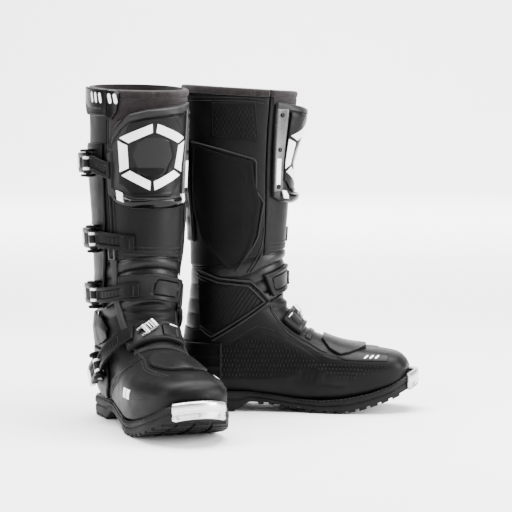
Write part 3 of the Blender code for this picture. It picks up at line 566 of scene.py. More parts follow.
def band(first, last, low_z, high_z):
    """Place function for a band between two angles and two heights, numbers or functions of angle."""
    def place(u, v):
        angle = mix(first, last, u)
        low = low_z(angle) if callable(low_z) else low_z
        high = high_z(angle) if callable(high_z) else high_z
        return ring(angle, mix(low, high, v)), angle

    return place


def curve_through(points, step=2.0):
    """A smooth open curve through points of any dimension, evenly stepped by length."""
    points = np.asarray(points, float)
    padded = np.concatenate([[2 * points[0] - points[1]], points, [2 * points[-1] - points[-2]]])
    found = []
    for a, b, c, d in zip(padded, padded[1:], padded[2:], padded[3:]):
        f = np.linspace(0, 1, 24, endpoint=False)[:, None]
        found.append(catmull(a, b, c, d, f))
    return evened(np.concatenate(found + [points[-1:]]), step)


def run_length(points):
    """Distance along a line at each of its points."""
    return np.concatenate([[0.0], np.cumsum(np.linalg.norm(np.diff(points, axis=0), axis=1))])


def evened(points, step):
    length = run_length(points)
    count = max(int(round(length[-1] / step)), 2)
    wanted = np.linspace(0.0, length[-1], count + 1)
    return np.stack([np.interp(wanted, length, points[:, i]) for i in range(points.shape[1])], -1)


def side_path(points, side, step=2.0, bend=True):
    """Stations and angles along a line drawn on the side view at pattern x, z."""
    line = curve_through(points, step) if bend else evened(np.asarray(points, float), step)
    return seat(line[:, 0], line[:, 1], side)


def ring_path(rows, step=2.0):
    """Stations and angles along a line through (angle, z) spots."""
    rows = np.asarray(rows, float)
    line = curve_through(rows * (0.9, 1.0), step)
    angle = line[:, 0] / 0.9
    return ring(angle, line[:, 1]), angle


def foot_path(rows):
    """Stations and angles along a line through (station, angle) spots."""
    line = curve_through(np.asarray(rows, float) * (1.0, 0.03), 0.05)
    return line[:, 0], line[:, 1] / 0.03


def ribbon(path, profile, lift=0.0):
    """A strip along a path of the skin, small at its ends; profile is (sideways, height) points."""
    k, angle = path
    centre, out = at(k, angle, 0.0), normal(k, angle)
    along = unit(np.gradient(centre, axis=0))
    across = unit(np.cross(out, along))
    profile = np.asarray(profile, float)
    scale = np.ones(len(k))
    scale[0] = scale[-1] = 0.35
    lifts = np.broadcast_to(np.asarray(lift, float), k.shape)
    sideways = profile[None, :, 0, None] * scale[:, None, None] * across[:, None, :]
    upwards = (profile[None, :, 1, None] * scale[:, None, None] + lifts[:, None, None]) * out[:, None, :]
    points = centre[:, None, :] + sideways + upwards
    return oriented((points.reshape(-1, 3), capped(len(k), len(profile), flip=True)))


def volume(points, faces):
    total = 0.0
    for face in faces:
        a = points[face[0]]
        for i in range(1, len(face) - 1):
            total += np.dot(a, np.cross(points[face[i]], points[face[i + 1]]))
    return total / 6.0


def oriented(shape):
    """The same closed shape with its faces pointing out."""
    points, faces = shape
    return (points, [face[::-1] for face in faces]) if volume(points, faces) < 0 else shape


def bead_profile(width, height):
    """Section of a raised bead: a half ellipse that sinks a little into what carries it."""
    turn = np.linspace(0, math.pi, 7)
    arc = np.stack([np.cos(turn) * width / 2, np.sin(turn) * height], -1)
    return np.concatenate([arc, [(-width / 2, -SINK), (width / 2, -SINK)]])


def bar_profile(width, height, round_edge=0.5):
    """Section of a flat bar with rounded upper edges."""
    half, e = width / 2, round_edge
    right = [(half, -SINK), (half, height - e), (half - 0.3 * e, height - 0.3 * e), (half - e, height)]
    return np.array(right + [(-across, up) for across, up in right[::-1]])


def bead(path, width, height, lift=0.0):
    return ribbon(path, bead_profile(width, height), lift)


def stitches(path, lift=0.0, pitch=3.3, length=2.3, radius=0.42):
    """A row of thread stitches along a path of the skin."""
    k, angle = path
    distance = run_length(at(k, angle, 0.0))
    middles = np.arange(pitch / 2, distance[-1] - pitch / 3, pitch)
    lifts = np.broadcast_to(np.asarray(lift, float), k.shape)
    shapes = []
    turn = np.arange(5) * math.tau / 5
    for middle in middles:
        spots = middle + length * np.array((-0.5, -0.32, 0.32, 0.5))
        kk, aa = np.interp(spots, distance, k), np.interp(spots, distance, angle)
        ll = np.interp(spots, distance, lifts) + np.array((-0.35, 0.12, 0.12, -0.35))
        line, out = at(kk, aa, ll), normal(kk, aa)
        along = unit(line[3] - line[0])
        across = np.cross(out[1], along)
        size = radius * np.array((0.45, 1.0, 1.0, 0.45))
        circles = [np.cos(turn)[:, None] * across + np.sin(turn)[:, None] * out[i] for i in range(4)]
        points = np.concatenate([line[i] + size[i] * circles[i] for i in range(4)])
        shapes.append(oriented((points, capped(4, 5, flip=True))))
    return shapes


def capped(rows, columns, flip=False):
    """Faces of a closed sweep: rows of columns points, and a cap at each end."""
    caps = [tuple(range(columns))[::-1], tuple(range((rows - 1) * columns, rows * columns))]
    return grid_faces(rows, columns, flip, True) + [cap[::-1] if flip else cap for cap in caps]


def turned(profile, origin, axis, sides=18):
    """A closed turned shape: profile points are (height along the axis, radius)."""
    axis = unit(np.asarray(axis, float))
    first = unit(np.cross(axis, (0.31, 0.52, 0.79)))
    second = np.cross(axis, first)
    turn = np.arange(sides) * math.tau / sides
    circle = np.cos(turn)[:, None] * first + np.sin(turn)[:, None] * second
    loops = [np.asarray(origin) + axis * a + circle * r for a, r in profile]
    return oriented((np.concatenate(loops), capped(len(profile), sides)))


def screw(origin, axis, radius=3.0, height=1.4):
    """A button-head screw with a round socket."""
    socket = radius * 0.5
    head = ((-1.0, radius), (height * 0.35, radius), (height * 0.8, radius * 0.82), (height, radius * 0.62),
            (height, socket), (height - 0.2, socket * 0.96), (0.1, socket * 0.9))
    return turned(head, origin, axis, 18)


def lofted(loops):
    """A closed shape through loops with the same number of points."""
    points = np.concatenate([np.asarray(loop, float) for loop in loops])
    return oriented((points, capped(len(loops), len(loops[0]))))


def block(origin, axes, sizes, round_edge=0.8):
    """A rounded block: axes are three unit vectors, sizes its full lengths along them."""
    a, b, c = (np.asarray(axis, float) for axis in axes)
    half = np.asarray(sizes, float) / 2
    loops = []
    for share, inset in ((-1, 1.0), (-1, 0.3), (-1, 0.0), (1, 0.0), (1, 0.3), (1, 1.0)):
        depth = half[2] * share
        depth -= share * round_edge * (0.0 if inset == 1.0 else 0.3 if inset == 0.3 else 1.0)
        e = round_edge * inset
        x, y = half[0] - e, half[1] - e
        r = round_edge
        outline = []
        for sx, sy in ((1, 1), (-1, 1), (-1, -1), (1, -1)):
            corner = [(x, y - r), (x - 0.3 * r, y - 0.3 * r), (x - r, y)][::sx * sy]
            outline += [(sx * across, sy * up) for across, up in corner]
        loops.append([np.asarray(origin) + a * p + b * q + c * depth for p, q in outline])
    return lofted(loops)


def off_line(here, line):
    """Distance of points from a line through drawn spots."""
    here = here[..., None, :]
    start, run = line[:-1], np.diff(line, axis=0)
    share = np.clip(((here - start) * run).sum(-1) / np.maximum((run * run).sum(-1), 1e-9), 0, 1)
    return np.linalg.norm(here - (start + share[..., None] * run), axis=-1).min(-1)


def near_line(spots, points, side, bend=False):
    """Distance in the side view from a drawn line, far away on the other side of the boot."""
    line = curve_through(points, 1.5) if bend else np.asarray(points, float)
    return np.where(np.sign(spots.y) == side, off_line(np.stack([spots.x, spots.z], -1), line), 99.0)


def near_drawn(spots, rows):
    """Distance from a line drawn through (angle, height) spots, on the boot's front half."""
    return off_line(np.stack([spots.angle * 0.95, spots.z], -1), np.asarray(rows, float) * (0.95, 1.0))


def groove(distance, width, depth):
    return -depth * (1.0 - smooth(distance / (width / 2)))


def ridge(distance, width, height):
    return height * (1.0 - smooth((distance - width * 0.25) / (width * 0.25)))


def rounded_box(across, up, half_across, half_up, corner):
    """Signed distance from the outline of a rounded rectangle, negative inside."""
    a, b = np.abs(across) - half_across + corner, np.abs(up) - half_up + corner
    return np.hypot(np.maximum(a, 0), np.maximum(b, 0)) + np.minimum(np.maximum(a, b), 0) - corner


# Sole unit.


def make_sole(boot):
    x = np.unique(np.concatenate([
        SOLE_HEEL + 0.25 + 27.0 * (1 - np.cos(np.linspace(0, math.pi / 2, 14))), np.arange(-45, 150, 3.0),
        SOLE_TIP - 0.25 - 76.0 * (1 - np.cos(np.linspace(0, math.pi / 2, 26)))]))
    half, middle = sole_half(x), sole_middle(x)
    top, bottom = reading(SOLE_TOP, x), reading(SOLE_BOTTOM, x) + 2.6
    height = top - bottom
    pocket = np.where((x > -64) & (x < 210), 7.0, 0.0)
    wall = ((3.0, 0.0), (0.9, 0.02), (0.2, 0.10), (0.0, 0.18), (0.0, 0.44), (0.3, 0.50), (1.2, 0.53),
            (1.2, 0.60), (0.1, 0.64), (-0.5, 0.70), (-0.5, 0.88), (-0.1, 0.96), (0.8, 1.0))
    loops = []
    for i in range(len(x)):
        w = max(half[i], 3.2)
        side = [(w - offset, bottom[i] + share * height[i]) for offset, share in wall]
        inner = max(w - 9.0, 1.0)
        side += [(inner, top[i]), (inner, top[i] - pocket[i])]
        outline = side + [(-y, z) for y, z in side[::-1]]
        loops.append([(x[i], middle[i] + y, z) for y, z in outline])
    boot.piece("outsole_rubber", lofted(loops), "foot", "rubber", ["outsole"], sharp=32)
    make_tread(boot)
    make_welt(boot)


def lug(x0, x1, y0, y1, depth=3.2):
    """One tread block under the sole between two x and two shares across it."""
    loops = []
    for sink, inset in ((depth, 0.0), (0.6, 0.0), (0.0, 0.7)):
        outline = []
        for x, share in ((x0 + inset, y0), (x1 - inset, y0), (x1 - inset, y1), (x0 + inset, y1)):
            half = max(float(sole_half(x)) - 0.4, 2.0)
            y = float(sole_middle(x)) + half * share
            y -= math.copysign(inset, share) if abs(share) > 0.9 else 0.0
            outline.append((x, y, float(reading(SOLE_BOTTOM, x)) + sink))
        loops.append(outline)
    return lofted(loops)


def make_tread(boot):
    lugs = []
    rows = [(-70, -57), (-53, -40), (-36, -23), (-19, -6)] + [(x, x + 9.5) for x in range(84, 205, 14)]
    for x0, x1 in rows:
        for y0, y1 in ((-1.0, -0.58), (-0.48, -0.06), (0.06, 0.48), (0.58, 1.0)):
            lugs.append(lug(x0, x1, y0, y1))
    for x0 in (24, 38, 52, 66):
        lugs += [lug(x0, x0 + 7, -0.95, -0.35, 2.8), lug(x0, x0 + 7, 0.35, 0.95, 2.8)]
    boot.piece("outsole_tread", merged(lugs), "foot", "rubber", sharp=25)


def sole_edge(first, last, step, out, rise):
    """Points round the sole's top edge from one share of its outline to another; 0 is the toe."""
    share = np.linspace(first, last, 400)
    turn = share * math.pi
    x = np.where(np.abs(share) < 0.35, TOE_SPRING + 77.0 * power(np.cos(turn * 0.5 / 0.35), 2 / 2.3),
                 TOE_SPRING - (np.abs(share) - 0.35) / 0.65 * (TOE_SPRING - SOLE_HEEL))
    x = np.clip(x, SOLE_HEEL + 0.4, SOLE_TIP - 0.05)
    half = np.maximum(sole_half(x) + out, 0.0)
    toe = np.abs(share) < 0.35
    y_toe = (SOLE_HALF[-1, 1] + out) * power(np.sin(np.abs(turn) * 0.5 / 0.35), 2 / 2.2)
    y = sole_middle(x) + np.sign(share) * np.where(toe, y_toe, half)
    return evened(np.stack([x, y, reading(SOLE_TOP, x) + rise], -1), step)


def tube(points, radius, sides=7):
    """A round rod along points, small at its ends."""
    points = np.asarray(points, float)
    along = unit(np.gradient(points, axis=0))
    across = unit(np.cross(np.broadcast_to((0, 0, 1), points.shape), along))
    top = np.cross(along, across)
    turn = np.arange(sides) * math.tau / sides
    size = np.full(len(points), radius)
    size[0] = size[-1] = radius * 0.4
    loops = points[:, None, :] + size[:, None, None] * (
        np.cos(turn)[None, :, None] * across[:, None, :] + np.sin(turn)[None, :, None] * top[:, None, :])
    return oriented((loops.reshape(-1, 3), capped(len(points), sides)))


def make_welt(boot):
    """Rand along the sole's top edge and the thick stitching that holds it, round the forefoot."""
    boot.piece("welt_rand", tube(sole_edge(-0.97, 0.97, 2.0, -2.6, 0.4), 1.7, 8), "foot", "guard")
    shapes = []
    line = sole_edge(-0.56, 0.56, 0.5, -1.2, 0.9)
    arch = ((0, 0, -0.5), (0, 0, 0.7), (0, 0, 0.7), (0, 0, -0.5))
    for i in range(8, len(line) - 8, 11):
        shapes.append(tube(line[i - 3:i + 4:2] + arch, 0.95, 6))
    boot.piece("welt_stitches", merged(shapes), "foot", "piping")


def make_toe_guard(boot):
    """Metal toe cap: a proud top band, a recessed face below it and three screws."""
    profile = ((0.7, 0.0, 0.0), (0.7, 0.55, 0.0), (0.7, 1.0, 0.9), (-1.4, 1.0, 1.6), (-1.4, 1.0, 4.0),
               (0.0, 1.0, 4.6), (2.2, 1.0, 4.1), (3.6, 1.0, 2.6), (4.1, 1.0, 0.4), (4.1, 0.66, 0.0),
               (3.8, 0.60, 0.0), (2.9, 0.56, 0.0), (2.5, 0.50, 0.0), (2.6, 0.42, 0.0), (3.0, 0.40, 0.0),
               (3.1, 0.30, 0.0), (2.7, 0.26, 0.0), (2.7, 0.14, 0.0), (3.9, 0.08, 0.0), (3.9, 0.02, 0.0),
               (3.2, -0.03, 0.0))
    turns = np.radians(-2.5 + 33.0 * np.sin(np.linspace(-math.pi / 2, math.pi / 2, 41)))
    reach, half = SOLE_TIP - TOE_SPRING, SOLE_HALF[-1, 1]

    def spot(turn, offset, share, extra):
        x = TOE_SPRING + reach * power(math.cos(turn), 2 / 2.3)
        y = float(sole_middle(x)) + half * power(math.sin(turn), 2 / 2.2)
        out = unit(np.array((math.cos(turn) / reach, math.sin(turn) / half, 0.0)))
        low, top = float(reading(SOLE_BOTTOM, x)) + 1.5, float(reading(SOLE_TOP, x))
        return np.array((x, y, mix(low, top, share) + extra)) + out * offset, out

    loops = []
    for i, turn in enumerate(turns):
        from_end = min(i, len(turns) - 1 - i)
        shrink = float(np.interp(from_end, (0, 1, 2), (0.5, 0.85, 1.0)))
        pinch = float(np.interp(from_end, (0, 3, 7), (0.5, 0.18, 0.0)))
        loops.append([spot(turn, 0.7 + (offset - 0.7) * shrink if offset > 0.7 else offset,
                           share + max(0.62 - share, 0.0) * pinch, extra * shrink)[0]
                      for offset, share, extra in profile])
    boot.piece("toe_cap", lofted(loops), "foot", "metal", ["toe_guard"], sharp=30)
    heads = []
    for turn in (-24.0, 0.0, 24.0):
        point, out = spot(math.radians(turn), 2.2, 0.28, 0.0)
        heads.append(screw(point, out, 2.4, 1.5))
    boot.piece("toe_cap_screws", merged(heads), "foot", "screw")


# Upper of the foot.


def shell_reach(k):
    """Angle at which the upper's side meets the sole's top."""
    def above(angle):
        points = skin(k, angle)
        return points[..., 2] - reading(SOLE_TOP, points[..., 0]) - 0.9 > 0

    return bisected(np.full(k.shape, 95.0), np.full(k.shape, 180.0), above)


INSTEP_SEAM = ((40, 135), (51, 120), (67, 104), (84, 95), (103, 89), (114, 92))
GRIP_SEAM = ((-13, 85), (10, 102), (28, 108), (62, 95), (88, 80), (105, 69))
TOE_PANEL = ((22, 34), (34, 43), (52, 53), (71, 62), (90, 72), (104, 81), (108, 90))


def upper_relief(spots):
    """Creases and seam grooves moulded in the foot's upper."""
    relief = groove(near_line(spots, ((72, 47), (90, 43), (112, 38), (132, 35)), -1, True), 7.0, 1.0)
    relief = relief + ridge(near_line(spots, ((76, 53), (100, 46), (134, 41)), -1, True), 12.0, 0.8)
    relief = relief + groove(near_line(spots, INSTEP_SEAM, -1, True), 2.2, 0.6)
    relief = relief + groove(near_line(spots, GRIP_SEAM, -1, True), 2.0, 0.5)
    relief = relief + groove(near_line(spots, TOE_PANEL, 1, True), 3.0, 1.1)
    folds = np.exp(-((spots.angle / 48.0) ** 2)) * (spots.x > 30)
    for z, height in ((143.5, -1.4), (137.5, 1.4), (131.5, -1.5), (103, -0.9)):
        relief = relief + folds * height * np.exp(-(((spots.z - z) / 2.6) ** 2))
    return relief


def make_upper(boot):
    def place(u, v):
        across = 2 * u - 1
        k = mix(TOE_K, foot_top(180 * across), v)
        return k, across * shell_reach(k)

    rows = np.concatenate([np.linspace(0, 0.03, 4, endpoint=False), np.linspace(0.03, 1, 120)])
    columns = np.concatenate([np.linspace(0, 0.12, 14, endpoint=False), np.linspace(0.12, 0.88, 110),
                              np.linspace(0.88, 1, 15)[1:]])
    uu, vv = np.meshgrid(columns, rows)
    k, angle = place(uu, vv)
    spots = Spots(uu, vv, k, angle)
    outer = at(k, angle, upper_relief(spots))
    inner_k = np.maximum(k, 0.55 + 0.4 * k)
    inner = at(inner_k, np.clip(angle, -shell_reach(inner_k), shell_reach(inner_k)), np.full(k.shape, -UPPER))
    height, width = uu.shape
    count = height * width
    index = np.arange(count).reshape(height, width)
    faces = grid_faces(height, width) + [tuple(index[0, ::-1])]
    inner_faces = grid_faces(height, width, flip=True) + [tuple(index[0, :])]
    faces += [tuple(i + count for i in face) for face in inner_faces]
    sides = [index[:, -1], index[-1, ::-1], index[::-1, 0]]
    for line in sides:
        faces += [(a, a + count, b + count, b) for a, b in zip(line, line[1:])]
    points = np.concatenate([outer.reshape(-1, 3), inner.reshape(-1, 3)])
    boot.piece("foot_upper", oriented((points, faces)), "foot", "leather", ["foot_shell"], sharp=50)


def make_foot_trim(boot):
    seams = []
    shift = np.array((0.0, 2.6))
    seams += stitches(side_path(np.array(INSTEP_SEAM) + shift, -1), 0.1)
    seams += stitches(side_path(np.array(INSTEP_SEAM) - shift, -1), 0.1)
    seams += stitches(side_path(np.array(GRIP_SEAM) + (0.0, 1.6), -1), 0.1, 3.0, 2.0, 0.34)
    seams += stitches(side_path(np.array(TOE_PANEL) + (2.0, -2.4), 1), 0.1)
    boot.piece("foot_stitching", merged(seams), "foot", "thread")

    # Grip area on the inner side: a thin panel covered in small raised ribs.
    grip = side_patch((((-30, 84), (-28, 44)), ((-4, 92), (-6, 42)), ((24, 104), (20, 42)),
                       ((52, 96), (50, 44)), ((78, 84), (74, 50)), ((103, 69), (98, 58))), -1)
    boot.piece("grip_panel", slab(grip, -1.0, 0.5, 3.0, 0.6)[:2], "foot", "grip")
    ribs = []
    for row in range(9):
        for column in range(30):
            x = -26 + column * 4.4 + (row % 2) * 2.2
            z = 48 + row * 6.2
            top = np.interp(x, (-30, -4, 24, 52, 78, 103), (82, 90, 102, 94, 82, 68)) - 3
            floor = np.interp(x, (-30, 20, 74, 103), (47, 45, 53, 62))
            if not floor < z < top - 1.5:
                continue
            k, angle = seat(x + np.array((0.0, 0.7)), z + np.array((-1.9, 1.9)), -1)
            ribs.append(bead((np.linspace(*k, 4), np.linspace(*angle, 4)), 1.5, 1.4, 0.45))
    boot.piece("grip_ribs", merged(ribs), "foot", "guard")

    # Rows of six-sided studs ahead of the grip area.
    studs = []
    for row, z in enumerate((62.0, 57.2, 52.4, 47.6)):
        for column in range(24):
            x = 90 + column * 4.6 + (row % 2) * 2.3
            if x > 190 - row * 14 or x < 88 + row * 11:
                continue
            k, angle = seat(x, z - (x - 90) * 0.015, -1)
            point, out = at(k, angle, 0.0), normal(k, angle)
            studs.append(turned(((-0.4, 1.8), (0.6, 1.65), (1.2, 1.1)), point, out, 6))
    boot.piece("toe_studs", merged(studs), "foot", "guard", sharp=20)

    # Dark inset on the inner side of the toe with plain slanted bars in place of a mark.
    inset = side_patch((((128, 75.5), (126, 71)), ((140, 79.0), (134, 68)), ((160, 77.5), (150, 67)),
                        ((192, 75), (190, 66))), -1)
    boot.piece("toe_inset", slab(inset, -1.0, 0.9, 2.0, 0.7)[:2], "foot", "satin")
    bars = []
    for x in (160, 167, 174):
        path = side_path(((x, 69.5), (x + 5.0, 73.0)), -1, 1.2, False)
        bars.append(ribbon(path, bar_profile(2.4, 0.3, 0.15), 0.9))
    boot.piece("toe_inset_bars", merged(bars), "foot", "white")

    # Ribs across the instep, ahead of the lower saddle.
    ribs = [bead(foot_path(((k, -40), (k - 0.05, 0), (k, 40))), 5.2, 1.9) for k in (5.98, 6.09)]
    boot.piece("instep_ribs", merged(ribs), "foot", "guard")

    # Outer side: a perforated patch with a small plain mark of two bars, and the toe panel's bead.
    dots = []
    for row in range(7):
        for column in range(24):
            x, z = 134 + column * 3.0 + (row % 2) * 1.5, 46 + row * 3.2 + column * 0.35
            if x < 200 - row * 2:
                k, angle = seat(x, z, 1)
                dots.append(turned(((-0.3, 0.75), (0.22, 0.6)), at(k, angle, 0.0), normal(k, angle), 6))
    boot.piece("toe_texture", merged(dots), "foot", "guard", sharp=20)
    marks = []
    for x in (108.0, 122.0):
        bar = side_patch((((x + 4.0, 57.0), (x, 45.0)), ((x + 15.0, 57.0), (x + 11.0, 45.0))), 1)
        marks.append(slab(bar, -0.6, 0.5, 1.6, 0.3)[:2])
    boot.piece("side_mark", merged(marks), "foot", "white")
    lines = [bead(side_path(np.array(TOE_PANEL) + (-2.0, 2.4), 1), 2.2, 1.0)]
    lines.append(bead(side_path(np.array(TOE_PANEL) + (-5.0, 7.0), 1), 1.8, 0.8, -0.1))
    boot.piece("toe_panel_beads", merged(lines), "foot", "guard")


def make_instep_guard(boot):
    place = between([((3.3, -14), (3.3, 8)), ((3.55, -30), (3.55, 15)), ((3.95, -46), (3.95, 20)),
                     ((4.35, -54), (4.35, 24)), ((4.95, -46), (4.95, 22)), ((5.4, -26), (5.4, 12))])

    def high(s):
        return 3.9 - 0.5 * smooth((s.rim - 3.0) / 1.5) + groove(np.abs(s.rim - 3.0), 1.4, 0.5)

    boot.piece("instep_plate", slab(place, 0.7, high, 1.8, 1.2)[:2], "foot", "guard", ["instep_guard"])
    border = ((6.6, 40), (5.9, 33), (5.3, 28), (4.95, 27.5), (4.4, 30), (3.9, 30), (3.3, 27), (2.75, 23))
    lines = [bead(foot_path(border), 2.6, 1.3)]
    lines.append(bead(foot_path([(k, angle + 5.0) for k, angle in border[2:]]), 1.6, 0.8))
    lines.append(bead(foot_path(((5.15, -62), (4.6, -64), (4.05, -57), (3.6, -44))), 1.8, 0.8))
    boot.piece("instep_beads", merged(lines), "foot", "piping")
    outer = ((39, 137), (46, 124), (52, 115), (64, 104), (78, 95), (92, 87), (104, 80), (113, 77))
    inner = ((40, 131), (48, 118), (60, 103), (76, 91), (91, 83), (103, 76.5))
    pipes = [bead(side_path(outer, -1), 2.4, 1.3), bead(side_path(inner, -1), 1.8, 0.9)]
    boot.piece("instep_piping", merged(pipes), "foot", "piping")


def make_ankle_guards(boot):
    medial = side_patch((((-52, 184), (-48, 105)), ((-26, 174), (-30, 92)), ((0, 171.5), (-2, 111)),
                         ((15, 170.5), (14, 122)), ((26, 158), (25, 130)), ((37, 143.5), (37, 139.5))), -1)

    def high(s):
        edge = np.minimum(s.from_u0, s.from_u1)
        bars = ridge(np.abs(edge - 2.6), 4.2, 1.8) + ridge(np.abs(edge - 7.6), 2.6, 1.2)
        rough = 0.45 * np.sin(s.x * 1.15 + 0.6 * s.z) * np.sin(s.z * 1.35) * smooth((edge - 9.5) / 3)
        return 3.8 + bars + rough

    boot.piece("ankle_shield_inner", slab(medial, 2.6, high, 1.3, 0.9)[:2],
               "foot", "black", ["ankle_guard_medial"])
    lines = []
    for inset in (0.0, 5.5):
        upper = ((-50, 182 - inset), (-26, 172.5 - inset), (0, 170 - inset),
                 (14 - inset * 0.5, 168.5 - inset))
        slant = ((26 - inset * 0.9, 156 - inset * 0.7), (36 - inset, 143 - inset * 0.4))
        lower = ((36 - inset, 140 + inset * 0.2), (14, 123.5 + inset), (-2, 112.5 + inset), (-34, 92 + inset))
        lines.append(bead(side_path(upper + slant, -1, 2.0, False), 2.4, 1.3, 5.2))
        lines.append(bead(side_path(lower, -1, 2.0, False), 2.4, 1.3, 5.2))
    boot.piece("ankle_shield_beads", merged(lines), "foot", "piping")

    lateral = side_patch((((-54, 134), (-52, 90)), ((-22, 136), (-22, 93)), ((4, 130), (4, 98)),
                          ((19, 117), (19, 105))), 1)

    def facets(s):
        split = s.v - 0.45
        return 3.6 + 2.4 * (1 - np.abs(s.u - 0.42) / 0.58) * np.where(split < 0, 1.0, 0.85) \
            + groove(np.abs(s.u - 0.42) * s.long_u, 1.6, 0.5)

    boot.piece("ankle_shield_outer", slab(lateral, 2.6, facets, 2.0, 1.0)[:2],
               "foot", "black", ["ankle_guard_lateral"], sharp=20)


# Shaft.


def make_bellows(boot):
    """Soft flex zone at the ankle: rounded folds in front, a low wave at the back."""
    angle = np.linspace(0.0, 360.0, 144, endpoint=False)
    share = np.linspace(0.0, 1.0, 61)
    aa, vv = np.meshgrid(angle, share)
    k = mix(foot_top(aa) + 0.02, cuff_bottom(aa) - 0.02, vv)
    front = np.exp(-((np.minimum(aa, 360 - aa) / 62.0) ** 2))
    pillows = np.abs(np.sin(vv * math.pi * 4.0)) ** 0.6
    ease = smooth(vv / 0.05) * smooth((1 - vv) / 0.05)
    lift = -1.9 + (0.7 + 2.6 * front) * pillows * ease
    outer = at(k, aa, lift)
    inner = at(k, aa, lift - 2.4)
    rows, columns = aa.shape
    count = rows * columns
    faces = grid_faces(rows, columns, wrap=True)
    faces += [tuple(i + count for i in face) for face in grid_faces(rows, columns, flip=True, wrap=True)]
    for first in (0, (rows - 1) * columns):
        line = np.arange(columns) + first
        after = np.roll(line, -1)
        strip = np.stack([line, line + count, after + count, after], -1)
        faces += [tuple(face) for face in (strip[:, ::-1] if first else strip).tolist()]
    points = np.concatenate([outer.reshape(-1, 3), inner.reshape(-1, 3)])
    flat = np.stack([np.radians(aa) * 58.0, vv * 60.0, 0 * aa], -1).reshape(-1, 3)
    piece = boot.piece("ankle_flex_zone", oriented((points, faces)), "foot", "bellows", ["ankle_bellows"],
                       np.concatenate([flat, flat]), 60, ride=False)
    bend_between(boot, piece)


def bend_between(boot, piece):
    """Bakes the placement of a piece that spans the ankle, from the foot to the cuff, into its mesh."""
    start, end = boot.place([(0.0, 0.0, 118.0), (0.0, 0.0, 204.0)])
    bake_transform(piece)


def shaft_place(first, last, bottom, top):
    def place(u, v):
        angle = mix(first, last, u)
        return mix(bottom(angle), top, v), angle

    return place


CALF_SEAM = ((-20, 398), (-26, 340), (-30, 280), (-30, 215))


def shaft_relief(s):
    below_collar = ((62, 384), (40, 396), (10, 401), (-40, 402), (-70, 402))
    relief = groove(near_line(s, below_collar, -1, True), 2.4, 0.5)
    relief = relief + groove(near_line(s, CALF_SEAM, 1, True), 2.4, 0.5)
    wrinkle = np.sin(s.z * 0.11 + s.angle * 0.03) * 0.25 + np.sin(s.z * 0.043 - s.angle * 0.05) * 0.35
    return -0.25 + wrinkle + relief


def panel_relief(s):
    relief = -0.2 + np.sin(s.z * 0.07 + 0.8) * 0.3 * np.exp(-((s.angle / 60.0) ** 2))
    for z in (216.5, 207.0):
        relief = relief + groove(np.abs(s.z - z - s.angle * 0.05), 2.4, 0.6)
    relief = relief + groove(near_line(s, ((44, 268), (37, 239), (33, 207), (20, 183)), -1, True), 2.4, 0.6)
    return relief


def make_shaft(boot):
    rear = (FLAP_EDGE + 1.2, 360.0 + FLAP_HINGE - 1.2)
    front = (FLAP_HINGE, FLAP_EDGE)
    top = COLLAR_SEAM - 0.01
    for name, ends, relief, step, body, node in (
            ("shaft_upper", rear, shaft_relief, 2.6, "cuff", "shaft_shell"),
            ("shin_upper", front, panel_relief, 2.2, "shin_flap", "shin_panel")):
        points, faces, flat = slab(shaft_place(*ends, cuff_bottom, top), -UPPER, relief, step, 1.2)
        boot.piece(name, (points, faces), body, "leather", [node], flat)
    seams = []
    collar_line = np.array(((62, 384), (50, 392), (34, 398), (10, 401.5), (-40, 402.5), (-68, 402.5)))
    for drop in (0.0, -4.2):
        path = side_path(collar_line + (0, drop), -1)
        keep = path[1] < FLAP_HINGE - 3
        seams += stitches((path[0][keep], path[1][keep]), 0.0, 3.4, 2.6, 0.5)
        path = side_path(collar_line[3:] + (0, drop), 1)
        seams += stitches(path, 0.0, 3.4, 2.6, 0.5)
    seams += stitches(side_path(np.array(CALF_SEAM) + (2.6, 0), 1), 0.0)
    boot.piece("shaft_stitching", merged(seams), "cuff", "thread")
    seams = []
    for z in (219.0, 214.0, 209.5, 204.5):
        seams += stitches(ring_path(((-50, z - 2.5), (0, z), (54, z + 2.7))), -0.1, 3.2, 2.3, 0.45)
    boot.piece("shin_stitching", merged(seams), "shin_flap", "thread")

    # Soft gusset behind the seam on which the shin flap turns.
    seam = FLAP_HINGE - 0.6
    path = foot_path(((float(cuff_bottom(np.array(seam))) + 0.15, seam), (14.96, seam)))
    boot.piece("hinge_gusset", ribbon(path, bar_profile(9.0, 1.0, 0.3), -6.2), "cuff", "lining")

    # Tapes behind the collar's seam.
    for name, body, first, last in (("collar_tape_rear", "cuff", FLAP_EDGE + 3.0, 358.0 + FLAP_HINGE),
                                    ("collar_tape_front", "shin_flap", FLAP_HINGE + 2.0, FLAP_EDGE - 2.0)):
        path = (np.full(60, COLLAR_SEAM), np.linspace(first, last, 60))
        boot.piece(name, ribbon(path, bar_profile(9.0, 1.4, 0.3), -5.6), body, "lining")

    # The collar's knit runs on down the front to the shin plate.
    def knit_place(u, v):
        angle = mix(-53.0, 56.0, u)
        low = ring(angle, plate_top(angle) - 3.0)
        return mix(np.minimum(low, COLLAR_SEAM - 0.05), COLLAR_SEAM + 0.02, v), angle

    points, faces, flat = slab(knit_place, -0.8, 1.3, 2.0, 1.0)
    boot.piece("collar_knit_band", (points, faces), "shin_flap", "collar", (), flat, 60)
    make_collar(boot, rear, front)


